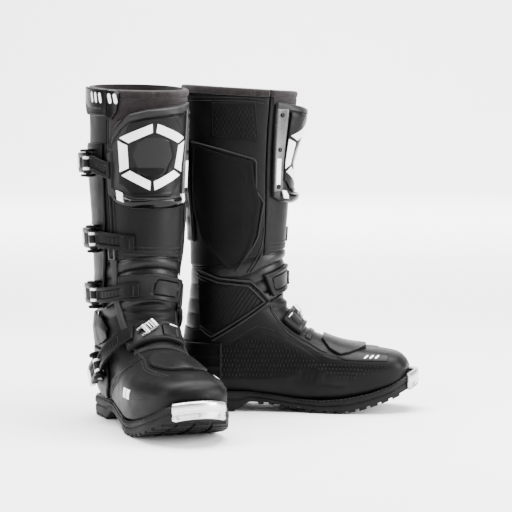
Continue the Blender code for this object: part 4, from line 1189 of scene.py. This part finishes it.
def make_collar(boot, rear, front):
    """Padded knitted collar in two parts, with a rolled top edge and sewn seams."""
    def puff(seam_angles):
        def high(s):
            turn = (s.angle + 180) % 360 - 180
            full = 0.6 + 1.0 * np.sin(np.clip(s.v, 0, 1) * math.pi)
            for seam in seam_angles:
                full = full + groove(np.abs((turn - seam + 180) % 360 - 180), 5.0, 1.3)
            return full + 0.25 * np.sin(turn * 0.21) + 0.2 * np.sin(turn * 0.37 + 1.0)
        return high

    def place(ends):
        def inner(u, v):
            angle = mix(ends[0], ends[1], u)
            return mix(COLLAR_SEAM + 0.002, float(LAST_K), v), angle
        return inner

    parts = (("collar_rear_pad", rear, "cuff", "collar_rear", (-72.0, 180.0)),
             ("collar_front_pad", front, "shin_flap", "collar_front", (0.0,)))
    for name, ends, body, node, seams in parts:
        points, faces, flat = slab(place(ends), -5.4, puff(seams), 2.0, 2.6)
        made = boot.piece(name, (points, faces), body, "collar", [node], flat, 60)


def make_heat_guard(boot):
    pairs = (((-54, 343), (17, 322)), ((-58, 305), (19, 302)), ((-57, 262), (27, 268)),
             ((-48, 226), (21, 228)), ((-30, 200), (16, 212)), ((-12, 184), (1, 187)))
    place = side_patch(pairs, -1)

    def high(s):
        inset = smooth((s.rim - 5.0) / 2.0) * 0.7
        marks = 0.0
        for x, z in ((8, 302), (14, 288), (4, 242), (12, 236), (18, 248)):
            marks = marks + 0.5 * np.exp(-(((s.x - x) / 2.0) ** 2) - (((s.z - z) / 6.0) ** 2))
        return 3.2 - inset + marks

    boot.piece("heat_panel", slab(place, 0.7, high, 2.2, 1.0)[:2], "cuff", "matte", ["heat_guard"])
    border = ((-60, 346), (-20, 336), (19, 324.5), (22, 320), (22, 284), (31, 269), (24, 226), (19, 215),
              (-4, 181))
    lines = [bead(side_path(border, -1, 1.5, False), 2.6, 1.5, 1.4)]
    front = np.array(((40, 275), (36, 250), (32, 218), (26, 200), (13, 179)))
    for shift in (-2.2, 1.8):
        path = side_path(front + (shift, 0), -1)
        keep = path[1] < FLAP_HINGE - 2.0
        if keep.sum() > 3:
            lines.append(bead((path[0][keep], path[1][keep]), 2.0, 1.1))
    boot.piece("side_piping", merged(lines), "cuff", "piping")

    # Raised rectangular field of small diamonds above the panel.
    fields = side_patch((((-34, 396), (22, 396)), ((-34, 352), (26, 346))), -1)

    def diamonds(s):
        cut = np.abs(np.sin(s.x * 0.62 + s.z * 0.36)) * np.abs(np.sin(s.x * 0.62 - s.z * 0.36))
        return 0.5 + 0.7 * cut * smooth((s.rim - 3.0) / 1.5) + ridge(np.abs(s.rim - 1.6), 2.4, 0.5)

    boot.piece("side_texture", slab(fields, -0.6, diamonds, 1.0, 0.6)[:2], "cuff", "matte")


def make_calf_guard(boot):
    place = band(140.0, 214.0, 218.0, 348.0)

    def high(s):
        ribs = 0.9 * smooth(np.sin(s.z * 0.29) * 1.6 + 0.2) * smooth((s.rim - 7.0) / 3.0)
        return 3.2 + ribs + ridge(np.abs(s.rim - 3.0), 3.6, 0.7)

    boot.piece("calf_plate", slab(place, 0.7, high, 2.2, 1.2)[:2], "cuff", "guard", ["calf_guard"])


# Buckles.


class Buckle:
    """Pin line, directions and side outline of one buckle."""

    def __init__(self, name):
        x, z, run_x, run_z, self.bend, self.body = LEVERS[name]
        k, angle = seat(x, z)
        self.origin = at(k, angle, PIN_LIFT)
        self.out = normal(k, angle)
        ahead = at(*seat(x + 4 * run_x, z + 4 * run_z), PIN_LIFT) - self.origin
        self.along = unit(ahead - self.out * ahead.dot(self.out))
        self.pin = unit(np.cross(self.along, self.out))

    def spot(self, a, b, w):
        return self.origin + self.along * a + self.out * b + self.pin * w

    def arm(self, start, end, thick_low, thick_high, width_start, width_end, round_edge=1.0, steps=14):
        """A curved bar along the lever's bend between two distances from the pin."""
        loops = []
        for share in np.linspace(0, 1, steps):
            reach = mix(start, end, share)
            turn = reach / self.bend
            flare = LEVER_FLARE * (reach / LEVER_LENGTH) ** 2
            width = mix(width_start, width_end, smooth(share)) / 2
            ending = min(share, 1 - share) * abs(end - start)
            pinch = round_edge * (1 - min(ending / round_edge, 1.0)) ** 2
            low, high, width = thick_low + pinch + flare, thick_high - pinch + flare, width - pinch
            e = min(round_edge, (high - low) * 0.4)
            right = [(width, low + e), (width, high - e), (width - 0.3 * e, high - 0.3 * e),
                     (width - e, high)]
            left = [(-across, up) for across, up in right[::-1]]
            section = right + left + [(-width + e, low), (width - e, low)]
            ahead, rise = math.sin(turn), math.cos(turn)
            loops.append([self.spot((self.bend + h) * ahead, (self.bend + h) * rise - self.bend, w)
                          for w, h in section])
        return lofted(loops)

    def barrel(self, radius, start, end, round_edge=0.6, sides=24):
        e = round_edge
        profile = ((start, radius - e), (start + 0.3 * e, radius - 0.3 * e), (start + e, radius),
                   (end - e, radius), (end - 0.3 * e, radius - 0.3 * e), (end, radius - e))
        return turned(profile, self.origin, self.pin, sides)


def make_buckle(boot, name, buckle):
    half = LEVER_THICKNESS / 2
    knuckles = [buckle.barrel(KNUCKLE, -LEVER_WIDTH / 2, LEVER_WIDTH / 2)]
    body = [buckle.arm(1.0, 30.0, -half, half - 1.2, LEVER_WIDTH - 1.0, LEVER_WIDTH - 1.0)]
    for side in (-1, 1):
        rail = Buckle(name)
        rail.origin = buckle.spot(0, 0, side * (LEVER_WIDTH / 2 - 3.6))
        body.append(rail.arm(2.0, 30.0, 0.0, half + 0.2, 6.0, 6.0))
    for reach in (12.0, 18.0, 24.0):
        body.append(buckle.arm(reach, reach + 2.6, 0.0, half - 0.4, 14.0, 14.0, 0.5, 5))
    boot.piece(f"{name}_arm", merged(knuckles + body), name, "lever", [name], sharp=30)
    tip = buckle.arm(29.0, LEVER_LENGTH - 0.3, -half + 0.4, half - 0.1, LEVER_WIDTH - 2.0,
                     LEVER_WIDTH - 5.0, 1.6)
    boot.piece(f"{name}_tip", tip, name, "tip", sharp=30)
    rings = [buckle.barrel(KNUCKLE + 0.35, *ends) for ends in ((-8.6, -5.0), (5.0, 8.6))]
    boot.piece(f"{name}_rings", merged(rings), name, "tip", sharp=30)


def ears(buckle):
    inside = LEVER_WIDTH / 2 + EAR_CLEARANCE
    shapes = [buckle.barrel(EAR_RADIUS, side * inside if side > 0 else -inside - EAR_THICKNESS,
                            inside + EAR_THICKNESS if side > 0 else -inside, 0.9, 28) for side in (1, -1)]
    shapes.append(buckle.barrel(PIN_RADIUS, -inside - 0.5, inside + 0.5, 0.1, 14))
    return shapes


def pin_heads(buckle):
    outside = LEVER_WIDTH / 2 + EAR_CLEARANCE + EAR_THICKNESS
    head = ((-0.5, 3.4), (0.4, 3.4), (0.9, 2.8), (0.9, 1.5), (0.35, 1.3))
    return [turned(head, buckle.spot(0, 0, side * outside), buckle.pin * side, 16) for side in (1, -1)]


def make_buckles(boot):
    buckles = {name: Buckle(name) for name in LEVERS}
    rail_place = side_patch((((-30, 346), (27, 346)), ((-34, 300), (27, 300)), ((-32, 252), (25, 252)),
                             ((-28, 212), (21, 212)), ((-32, 184), (14, 184)), ((-38, 160), (12, 160)),
                             ((-34, 141), (6, 141))), 1)

    def high(s):
        pad = 0.0
        for _, z, _, _, _, body in LEVERS.values():
            if body == "cuff":
                pad = pad + 1.3 * np.exp(-(((s.z - z) / 17.0) ** 4))
        return 2.6 + pad + ridge(np.abs(s.rim - 2.4), 3.2, 0.6)

    points, faces, _ = slab(rail_place, 0.7, high, 2.2, 1.0)
    shapes, heads = [(points, faces)], []
    for name in ("lever_1", "lever_2", "lever_3"):
        shapes += ears(buckles[name])
        heads += pin_heads(buckles[name])
    boot.piece("buckle_rail", merged(shapes), "cuff", "black", ["closure_rail"], sharp=30)
    boot.piece("buckle_pins", merged(heads), "cuff", "screw")

    def heel_place(u, v):
        z = mix(30.0, 89.0, v)
        front = reading(np.array(((30, 10), (45, 25), (60, 26), (75, 21), (89, 9)), float), z)
        first, last = seat(front, z)[1], 360.0 - seat(np.full(z.shape, -22.0), z)[1]
        angle = mix(first, last, u)
        return ring(angle, z), angle

    def heel_high(s):
        return 4.1 + ridge(np.abs(s.z - 58), 5.0, 0.9) + ridge(np.abs(s.z - 73), 4.0, 0.8) \
            + ridge(np.abs(s.rim - 2.0), 3.0, 0.4) - 1.9 * smooth((s.angle - 200.0) / 60.0)

    points, faces, _ = slab(heel_place, 1.3, heel_high, 2.4, 1.2)
    boot.piece("heel_shield", merged([(points, faces)] + ears(buckles["lever_4"])), "foot", "black",
               ["heel_counter"], sharp=30)
    boot.piece("heel_pins", merged(pin_heads(buckles["lever_4"])), "foot", "screw")
    for name, buckle in buckles.items():
        make_buckle(boot, name, buckle)


# Straps.


def strap_rise(share, low, high):
    return mix(low, high, smooth(share))


def ladder(across, half, along):
    """Relief of a strap: two rails along its edges and low rungs in the slot between them."""
    slot = 1.0 - smooth((np.abs(across) - (half - 5.6)) / 0.7)
    rungs = smooth(np.sin(along * math.tau / 5.0) * 2.0 + 0.3) * 0.5
    return -slot * (3.0 - rungs)


def make_round_strap(boot, name, buckle, first, low, adjuster):
    x, z = LEVERS[buckle][:2]
    last = float(seat(x, z)[1]) - math.degrees((KNUCKLE + STRAP_GAP) / 54.0)
    half = STRAP_WIDTH / 2
    lever_lift = PIN_LIFT - STRAP_THICKNESS / 2

    def along(start, end, reach):
        def place(u, v):
            angle = mix(start, end, u)
            middle = z + STRAP_LEADS[name] * smooth((last - angle) / (last - first))
            return ring(angle, middle + mix(-reach, reach, v)), angle
        return place

    def under(s):
        return strap_rise(((s.angle - first) / (last - first) - 0.2) / 0.7, low, lever_lift)

    def over(s):
        open_part = smooth((s.u - (0.34 if adjuster else 0.12)) / 0.05) * smooth((0.97 - s.u) / 0.04)
        return under(s) + STRAP_THICKNESS + ladder((s.v - 0.5) * STRAP_WIDTH, half, s.from_u0) * open_part

    boot.piece(f"{name}_band", slab(along(first, last, half), under, over, 1.2, 0.9)[:2],
               name, "strap", [name])
    if not adjuster:
        return

    # The ribbed adjuster box that the strap runs into.
    def box(s):
        ribs = smooth(np.sin(s.from_u0 * math.tau / 4.6) * 2.2) * 1.1 * smooth((s.rim - 2.0) / 0.8)
        return low + STRAP_THICKNESS + adjuster - 0.9 + ribs

    points, faces, _ = slab(along(first - 1.0, mix(first, last, 0.30), half - 0.5), low + 0.4, box, 0.9, 1.0)
    boot.piece(f"{name}_adjuster", (points, faces), name, "black")


def make_saddle(boot, name, place, low, high, pad, body):
    """A moulded saddle: a raised border round a pad that a deep groove frames."""
    middle, half_across, half_up = pad

    def top(s):
        across, up = (s.u - middle) * s.long_u, (s.v - 0.5) * s.long_v
        edge = rounded_box(across, up, half_across, half_up, 3.0)
        pad_face = high - 0.5 * (1.0 - smooth(edge + 0.5))
        return pad_face + groove(np.abs(edge), 2.4, 2.2) + ridge(np.abs(s.rim - 2.2), 3.8, 0.6)

    boot.piece(f"{name}_moulding", slab(place, low, top, 1.1, 1.3)[:2], body, "guard", [name])


def ankle_saddle_place(u, v):
    angle = mix(mix(*SADDLE_ANCHOR, v), SADDLE_END, u)
    return ring(angle, mix(reading(SADDLE_LOW, angle), reading(SADDLE_HIGH, angle), v)), angle


def make_straps(boot):
    make_round_strap(boot, "strap_1", "lever_1", 50.0, 6.4, 0.0)
    make_round_strap(boot, "strap_2", "lever_2", 24.0, 1.0, 3.0)
    make_round_strap(boot, "strap_3", "lever_3", 18.0, 6.9, 2.5)
    make_saddle(boot, "ankle_saddle", ankle_saddle_place, 2.6, 6.2, (0.29, 17.5, 9.5), "strap_3")
    narrow = between([((6.42, -40), (6.3, 46)), ((7.45, -40), (7.42, 46))])
    make_saddle(boot, "instep_saddle", narrow, 1.6, 5.4, (0.26, 9.5, 9.0), "strap_4")
    mark = (np.linspace(7.3, 7.34, 8), np.linspace(-18.0, -33.0, 8))
    boot.piece("instep_mark", ribbon(mark, bar_profile(3.2, 0.4, 0.15), 5.2), "strap_4", "white")

    x, z, run_x, run_z, _, _ = LEVERS["lever_4"]
    reach = KNUCKLE + 1.5 * STRAP_GAP
    start = np.array((x - run_x * reach, z - run_z * reach))
    end = np.array((66.0, 113.5))
    along = unit(end - start)
    ends = []
    for share in np.linspace(1.0, 0.0, 9):
        run = unit(mix(np.array((-run_x, -run_z)), along, min(share * 2, 1.0)))
        half = np.array((-run[1], run[0])) * STRAP_WIDTH / 2
        spot = mix(start, end, share)
        ends.append((seat(*(spot - half)), seat(*(spot + half))))
    lever_lift = PIN_LIFT - STRAP_THICKNESS / 2

    def under(s):
        return strap_rise((s.v - 0.3) / 0.5, 5.8, lever_lift)

    def over(s):
        open_part = smooth((s.v - 0.22) / 0.05)
        return under(s) + STRAP_THICKNESS + ladder((s.u - 0.5) * STRAP_WIDTH, 10.0, s.from_v0) * open_part

    boot.piece("strap_4_band", slab(between(ends), under, over, 1.2, 0.9)[:2],
               "strap_4", "strap", ["strap_4"])

    # The metal ratchet where the strap meets the saddle.
    point, out = at(7.05, 10.0, 7.0), normal(7.05, 10.0)
    run = unit(at(7.2, 4.0, 7.0) - at(6.9, 18.0, 7.0))
    run = unit(run - out * np.dot(run, out))
    across = np.cross(out, run)
    shapes = [block(point + run * 3.0, (run, across, out), (12.0, 13.0, 3.6), 1.2)]
    shapes += [block(point + run * -8.0 + across * side * 5.2, (run, across, out), (13.0, 2.6, 2.6), 0.9)
               for side in (-1, 1)]
    shapes.append(turned(((-7.0, 2.2), (-6.6, 2.6), (6.6, 2.6), (7.0, 2.2)), point - run * 5.0, across, 14))
    roll = ((-6.2, 3.6), (-5.6, 4.6), (5.6, 4.6), (6.2, 3.6))
    shapes.append(turned(roll, point + run * 7.5 - out * 0.6, across, 20))
    boot.piece("strap_4_ratchet", merged(shapes), "strap_4", "screw", sharp=30)
    ribs = [block(point + out * 2.0 + run * (i * 3.4 - 0.4), (run, across, out), (1.6, 9.5, 1.0), 0.4)
            for i in range(3)]
    boot.piece("strap_4_ratchet_ribs", merged(ribs), "strap_4", "black", sharp=30)


# Shin protection.


PLATE_EDGES = (-49.0, 56.0)
PLATE_PROFILE = np.array(((266, 5), (272, 10), (278, 12), (286, 5.5), (318, 5.0), (348, 12.4), (364, 15),
                          (380, 16.8), (388, 16), (393, 12), (397, 7)), float)


def plate_height(angle, z):
    middle = sum(PLATE_EDGES) / 2
    share = np.abs(angle - middle) / ((PLATE_EDGES[1] - PLATE_EDGES[0]) / 2)
    return mix(reading(PLATE_PROFILE, z), 4.5, smooth((share - 0.35) / 0.65))


def plate_top(angle):
    return np.interp(angle, (-49, -20, 10, 26, 40, 56), (396.5, 392.5, 388, 383, 366, 344))


def plate_bottom(angle):
    return np.interp(angle, (-49, -36, -20, 0, 24, 42, 56), (276, 270, 267.5, 267, 268, 274, 286))


def make_shin_plate(boot):
    def place(u, v):
        angle = mix(*PLATE_EDGES, u)
        return ring(angle, mix(plate_bottom(angle), plate_top(angle), v)), angle

    def inside(s):
        down, up = s.from_v0 - 13.0, s.from_v1 - 8.5
        sides = np.minimum(s.from_u0 - 13.0, s.from_u1 - 7.0)
        return np.minimum(np.minimum(down, up), sides)

    def high(s):
        hollow = smooth(inside(s) / 1.6 + 0.5)
        slot = near_drawn(s, ((53.5, 336), (50, 354), (41, 371), (34, 376.5)))
        return plate_height(s.angle, s.z) + 1.0 - 3.4 * hollow + groove(slot, 7.0, 4.0)

    boot.piece("shin_frame", slab(place, 1.0, high, 1.6, 1.8)[:2],
               "shin_flap", "frame", ["shin_plate"], sharp=45)

    def insert_place(u, v):
        angle = mix(-33.0, 40.0, u)
        low = np.maximum(plate_bottom(angle) + 14.5, 283.0 + 14.0 * smooth((np.abs(angle - 3) - 18) / 18))
        high = plate_top(angle) - 10.0 - 16.0 * smooth((angle - 22) / 18)
        return ring(angle, mix(low, high, v)), angle

    def face(s):
        return plate_height(s.angle, s.z) - 0.1

    def recess(s):
        up, across = s.z - 331.0, (s.angle - 3.0) * 1.02
        shape = np.maximum(np.abs(across) + 0.34 * np.abs(up), np.abs(up) * 0.86)
        return 1.0 - smooth((shape - 21.0) / 2.0 + 0.5)

    def insert_high(s):
        return face(s) + 0.9 - 1.6 * recess(s)

    boot.piece("shin_insert_face", slab(insert_place, lambda s: face(s) - 2.0, insert_high, 1.6, 1.2)[:2],
               "shin_flap", "satin", ["shin_insert"], sharp=45)

    def plate_patch(corners, low, high, edge):
        """A thin panel on the plate: corners (angle, height) run low start, low end, high end, high start."""
        (a, b, c, d) = (np.array(corner, float) for corner in corners)

        def place(u, v):
            angle = mix(mix(a[0], b[0], u), mix(d[0], c[0], u), v)
            return ring(angle, mix(mix(a[1], b[1], u), mix(d[1], c[1], u), v)), angle

        def raised(lift):
            return lambda s: plate_height(s.angle, s.z) + lift
        return slab(place, raised(low), raised(high), 1.6, edge)[:2]

    # Six white bars round the six-sided window.
    bands = []
    outline = [(3, 362), (28, 347), (28, 315), (3, 300), (-22, 315), (-22, 347)]
    centre = np.array((3.0, 331.0))
    for start, end in zip(outline, outline[1:] + outline[:1]):
        start, end = np.array(start, float), np.array(end, float)
        gap = (end - start) * 0.06
        inner = (start + gap, end - gap)
        outer = [centre + (spot - centre) * (1.42, 1.36) for spot in inner]
        bands.append(plate_patch((inner[0], inner[1], outer[1], outer[0]), -0.6, 1.15, 0.3))
    boot.piece("shin_bands", merged(bands), "shin_flap", "white")

    def hexagon_place(u, v):
        half = np.interp(v, (0, 0.26, 0.74, 1), (0.4, 23.0, 23.0, 0.4))
        angle = 3.0 + half * (2 * u - 1)
        return ring(angle, mix(303.0, 359.0, v)), angle

    points, faces, _ = slab(hexagon_place, lambda s: face(s) - 2.0, lambda s: face(s) - 0.35, 1.6, 0.6)
    boot.piece("shin_window", (points, faces), "shin_flap", "gloss", sharp=45)

    # Glossy lip under the insert.
    lip_place = band(-40.0, 46.0, lambda a: plate_bottom(a) + 0.6, lambda a: plate_bottom(a) + 12.5)

    def lip(s):
        return plate_height(s.angle, s.z) + 1.6 + 1.2 * np.sin(s.v * math.pi)

    boot.piece("shin_lip", slab(lip_place, lambda s: plate_height(s.angle, s.z) - 1.0, lip, 1.6, 1.6)[:2],
               "shin_flap", "gloss", sharp=45)
    patches = [plate_patch(corners, 0.0, 3.1, 0.4) for corners in (
        ((32, 276), (41, 279), (43, 290), (36, 287)), ((-30, 274), (-37, 275), (-38, 285), (-32, 284)))]
    boot.piece("shin_lip_marks", merged([oriented(patch) for patch in patches]), "shin_flap", "white")
    strip = oriented(plate_patch(((-40.5, 292), (-46.5, 292), (-46.5, 325), (-40.5, 325)), 0.0, 2.25, 0.4))
    boot.piece("shin_side_mark", strip, "shin_flap", "white")

    # Flange on the inner side, with three screws.
    flange = band(-49.0, -36.0, 283.0, 388.0)

    def flange_high(s):
        return plate_height(s.angle, s.z) + 1.9

    points, faces, _ = slab(flange, lambda s: plate_height(s.angle, s.z) - 1.0, flange_high, 1.8, 1.4)
    # The flange's lighter grey is partly painted reflection.
    boot.piece("shin_flange", (points, faces), "shin_flap", "grey_painted_sheen", sharp=45)
    heads = []
    for z in (380.0, 336.0, 289.0):
        angle = -43.0
        k = ring(angle, z)
        lift = float(plate_height(np.array(angle), np.array(z))) + 1.8
        heads.append(screw(at(k, angle, lift), normal(k, angle), 2.9, 1.3))
    boot.piece("shin_screws", merged(heads), "shin_flap", "black")
    slot = ring_path(((53.5, 338), (50, 354), (41, 370), (35, 375.5)), 1.5)
    lift = plate_height(slot[1], skin(*slot)[:, 2]) - 1.9
    boot.piece("shin_slot", bead(slot, 4.2, 0.9, lift), "shin_flap", "gloss")
    lines = []
    for rows in (((-20, 388), (-30, 362), (-34, 336), (-34, 316)),
                 ((-10, 386), (-22, 366), (-30, 344), (-31, 330))):
        path = ring_path(rows, 1.5)
        lift = plate_height(path[1], skin(*path)[:, 2]) + 0.55
        lines.append(bead(path, 1.1, 0.5, lift))
    boot.piece("shin_lines", merged(lines), "shin_flap", "black")


def make_closure(boot):
    """The overlapped edge of the shin flap, its bracket, and the tab at the collar."""
    lines = []
    edge = ((56.5, 396), (56.5, 340), (57, 280), (57, 240), (57.5, 207))
    lines.append(bead(ring_path(edge), 4.0, 2.2))
    lines.append(bead(ring_path([(a - 5.5, z) for a, z in edge]), 2.2, 1.2))
    boot.piece("flap_edge_piping", merged(lines), "shin_flap", "guard")

    k, angle = ring(57.0, 214.0), 57.0
    point, out = at(k, angle, 3.2), normal(k, angle)
    up = np.array((0.0, 0.0, 1.0))
    up = unit(up - out * np.dot(up, out))
    side = np.cross(up, out)
    shapes = [block(point + side * offset, (side, up, out), (1.8, 21.0, 1.8), 0.6) for offset in (-4.6, 4.6)]
    shapes += [block(point + up * offset, (side, up, out), (11.0, 1.8, 1.8), 0.6) for offset in (-9.6, 9.6)]
    boot.piece("flap_bracket", merged(shapes), "shin_flap", "grey_painted_sheen", sharp=30)

    place = between([((14.33, 57.6), (14.33, 98)), ((14.6, 57.6), (14.55, 113)),
                     ((14.985, 57.6), (14.985, 111))])

    def high(s):
        return 4.2 + ridge(np.abs(s.rim - 2.5), 2.4, 0.5)

    boot.piece("collar_tab", slab(place, 1.9, high, 1.8, 1.0)[:2], "collar_flap", "strap", ["collar_flap"])
    label = between([((14.48, 64), (14.48, 90)), ((14.62, 61.5), (14.6, 104)), ((14.93, 62), (14.93, 104))])
    boot.piece("collar_label", slab(label, 3.9, 4.9, 1.8, 0.5)[:2], "collar_flap", "gloss")

    def bars(starts, lift):
        paths = [(np.linspace(14.6, 14.86, 8), np.linspace(start, start + 3.0, 8)) for start in starts]
        return merged([ribbon(path, bar_profile(5.0, 0.3, 0.15), lift) for path in paths])

    boot.piece("collar_label_bars", bars((65.0, 73.0, 81.0), 4.9), "collar_flap", "white")
    patch = between([((14.27, 50), (14.27, 56.8)), ((14.45, 43), (14.45, 56.8)), ((14.88, 40), (14.88, 56.8)),
                     ((14.97, 44), (14.97, 56.8))])
    boot.piece("collar_patch", slab(patch, 0.2, 4.4, 1.6, 1.0)[:2], "shin_flap", "gloss")
    boot.piece("collar_patch_bars", bars((43.5, 51.0), 4.4), "shin_flap", "white")
    outline = [(14.36, 60), (14.36, 94), (14.58, 108.5), (14.95, 107.5)]
    seam = stitches(foot_path(outline), 4.5, 3.0, 2.0, 0.36)
    boot.piece("collar_tab_stitching", merged(seam), "collar_flap", "thread")


def make_side_strip(boot):
    """Curved flat strip from the flap's edge down to the outer side of the instep."""
    path = ring_path(((56, 206), (55, 190), (54, 172), (52, 154), (47, 136), (43, 116)))
    shape = ribbon(path, bar_profile(9.5, 2.3, 0.9))
    strip = boot.piece("closure_strip", shape, "foot", "frame", ride=False)
    bend_between(boot, strip)


MAKERS = (make_sole, make_toe_guard, make_upper, make_foot_trim, make_instep_guard, make_ankle_guards,
          make_bellows, make_shaft, make_heat_guard, make_calf_guard, make_buckles, make_straps,
          make_shin_plate, make_closure, make_side_strip)


def make_boot(prefix, side):
    boot = Boot(prefix, side)
    for make in MAKERS:
        make(boot)
    for node, finish in (("insole", "board"), ("shank", "steel")):
        kept = frame["nodes"][f"{prefix}_{node}"]
        kept.data.materials.clear()
        kept.data.materials.append(FINISHES[finish].material)
    return boot


# Stage.

# Area lights: name, place, target, size and watts.
LIGHTS = (
    ("right_box", (2.0, -0.7, 0.9), (0.0, 0.0, 0.2), (0.9, 1.6), 150.0),
    ("left_box", (-1.9, -1.1, 0.9), (0.0, 0.0, 0.2), (0.6, 1.5), 60.0),
    ("top_box", (0.0, 0.4, 2.6), (0.0, 0.6, 0.0), (3.0, 2.4), 420.0),
    ("back_box", (0.0, 3.4, 3.4), (0.0, 8.0, 0.4), (6.0, 2.0), 1500.0),
)
WORLD_STRENGTH = 0.5
CAMERA_OFFSET = (0.1460, -2.6018, 0.4039)
CAMERA_TILT, CAMERA_TURN, CAMERA_LENS = 90.0 - 4.54, 2.78, 141.7


def make_floor():
    """A pale floor that curves up into a backdrop far behind the pair."""
    curve = [(6.0 + 3.0 * math.sin(t), 3.0 - 3.0 * math.cos(t)) for t in np.linspace(0, math.pi / 2, 16)]
    run = [(-6.0, 0.0)] + curve + [(9.0, 12.0)]
    points = [(x, y, z - 0.0006) for y, z in run for x in (-14.0, 14.0)]
    faces = [(2 * i, 2 * i + 1, 2 * i + 3, 2 * i + 2) for i in range(len(run) - 1)]
    data = bpy.data.meshes.new("studio_floor")
    data.from_pydata(points, [], faces)
    data.shade_smooth()
    paper = Finish("studio_paper", None, (0.86, 0.86, 0.86), 0.9)
    paper.bump(paper.noise(400.0, 3.0), 0.0001, 0.2)
    data.materials.append(paper.material)
    floor = bpy.data.objects.new("studio_floor", data)
    bpy.context.scene.collection.objects.link(floor)


def make_light(name, place, target, size, watts):
    data = bpy.data.lights.new(name, "AREA")
    data.shape = "RECTANGLE"
    data.size, data.size_y = size
    data.energy = watts
    lamp = bpy.data.objects.new(name, data)
    lamp.location = place
    lamp.rotation_euler = (Vector(target) - Vector(place)).to_track_quat("-Z", "Y").to_euler()
    bpy.context.scene.collection.objects.link(lamp)


def make_stage(left):
    make_floor()
    world = bpy.data.worlds.new("studio")
    world.use_nodes = True
    world.node_tree.nodes["Background"].inputs["Color"].default_value = (1.0, 1.0, 1.0, 1.0)
    world.node_tree.nodes["Background"].inputs["Strength"].default_value = WORLD_STRENGTH
    bpy.context.scene.world = world
    for light in LIGHTS:
        make_light(*light)

    data = bpy.data.cameras.new("camera")
    data.sensor_width = 36.0
    data.lens = CAMERA_LENS
    camera = bpy.data.objects.new("camera", data)
    camera.location = Vector(left.origin) + Vector(CAMERA_OFFSET)
    camera.rotation_euler = (math.radians(CAMERA_TILT), 0.0, math.radians(CAMERA_TURN))
    bpy.context.scene.collection.objects.link(camera)
    bpy.context.scene.camera = camera


LEFT = make_boot("left", 1)
make_boot("right", -1)
make_stage(LEFT)
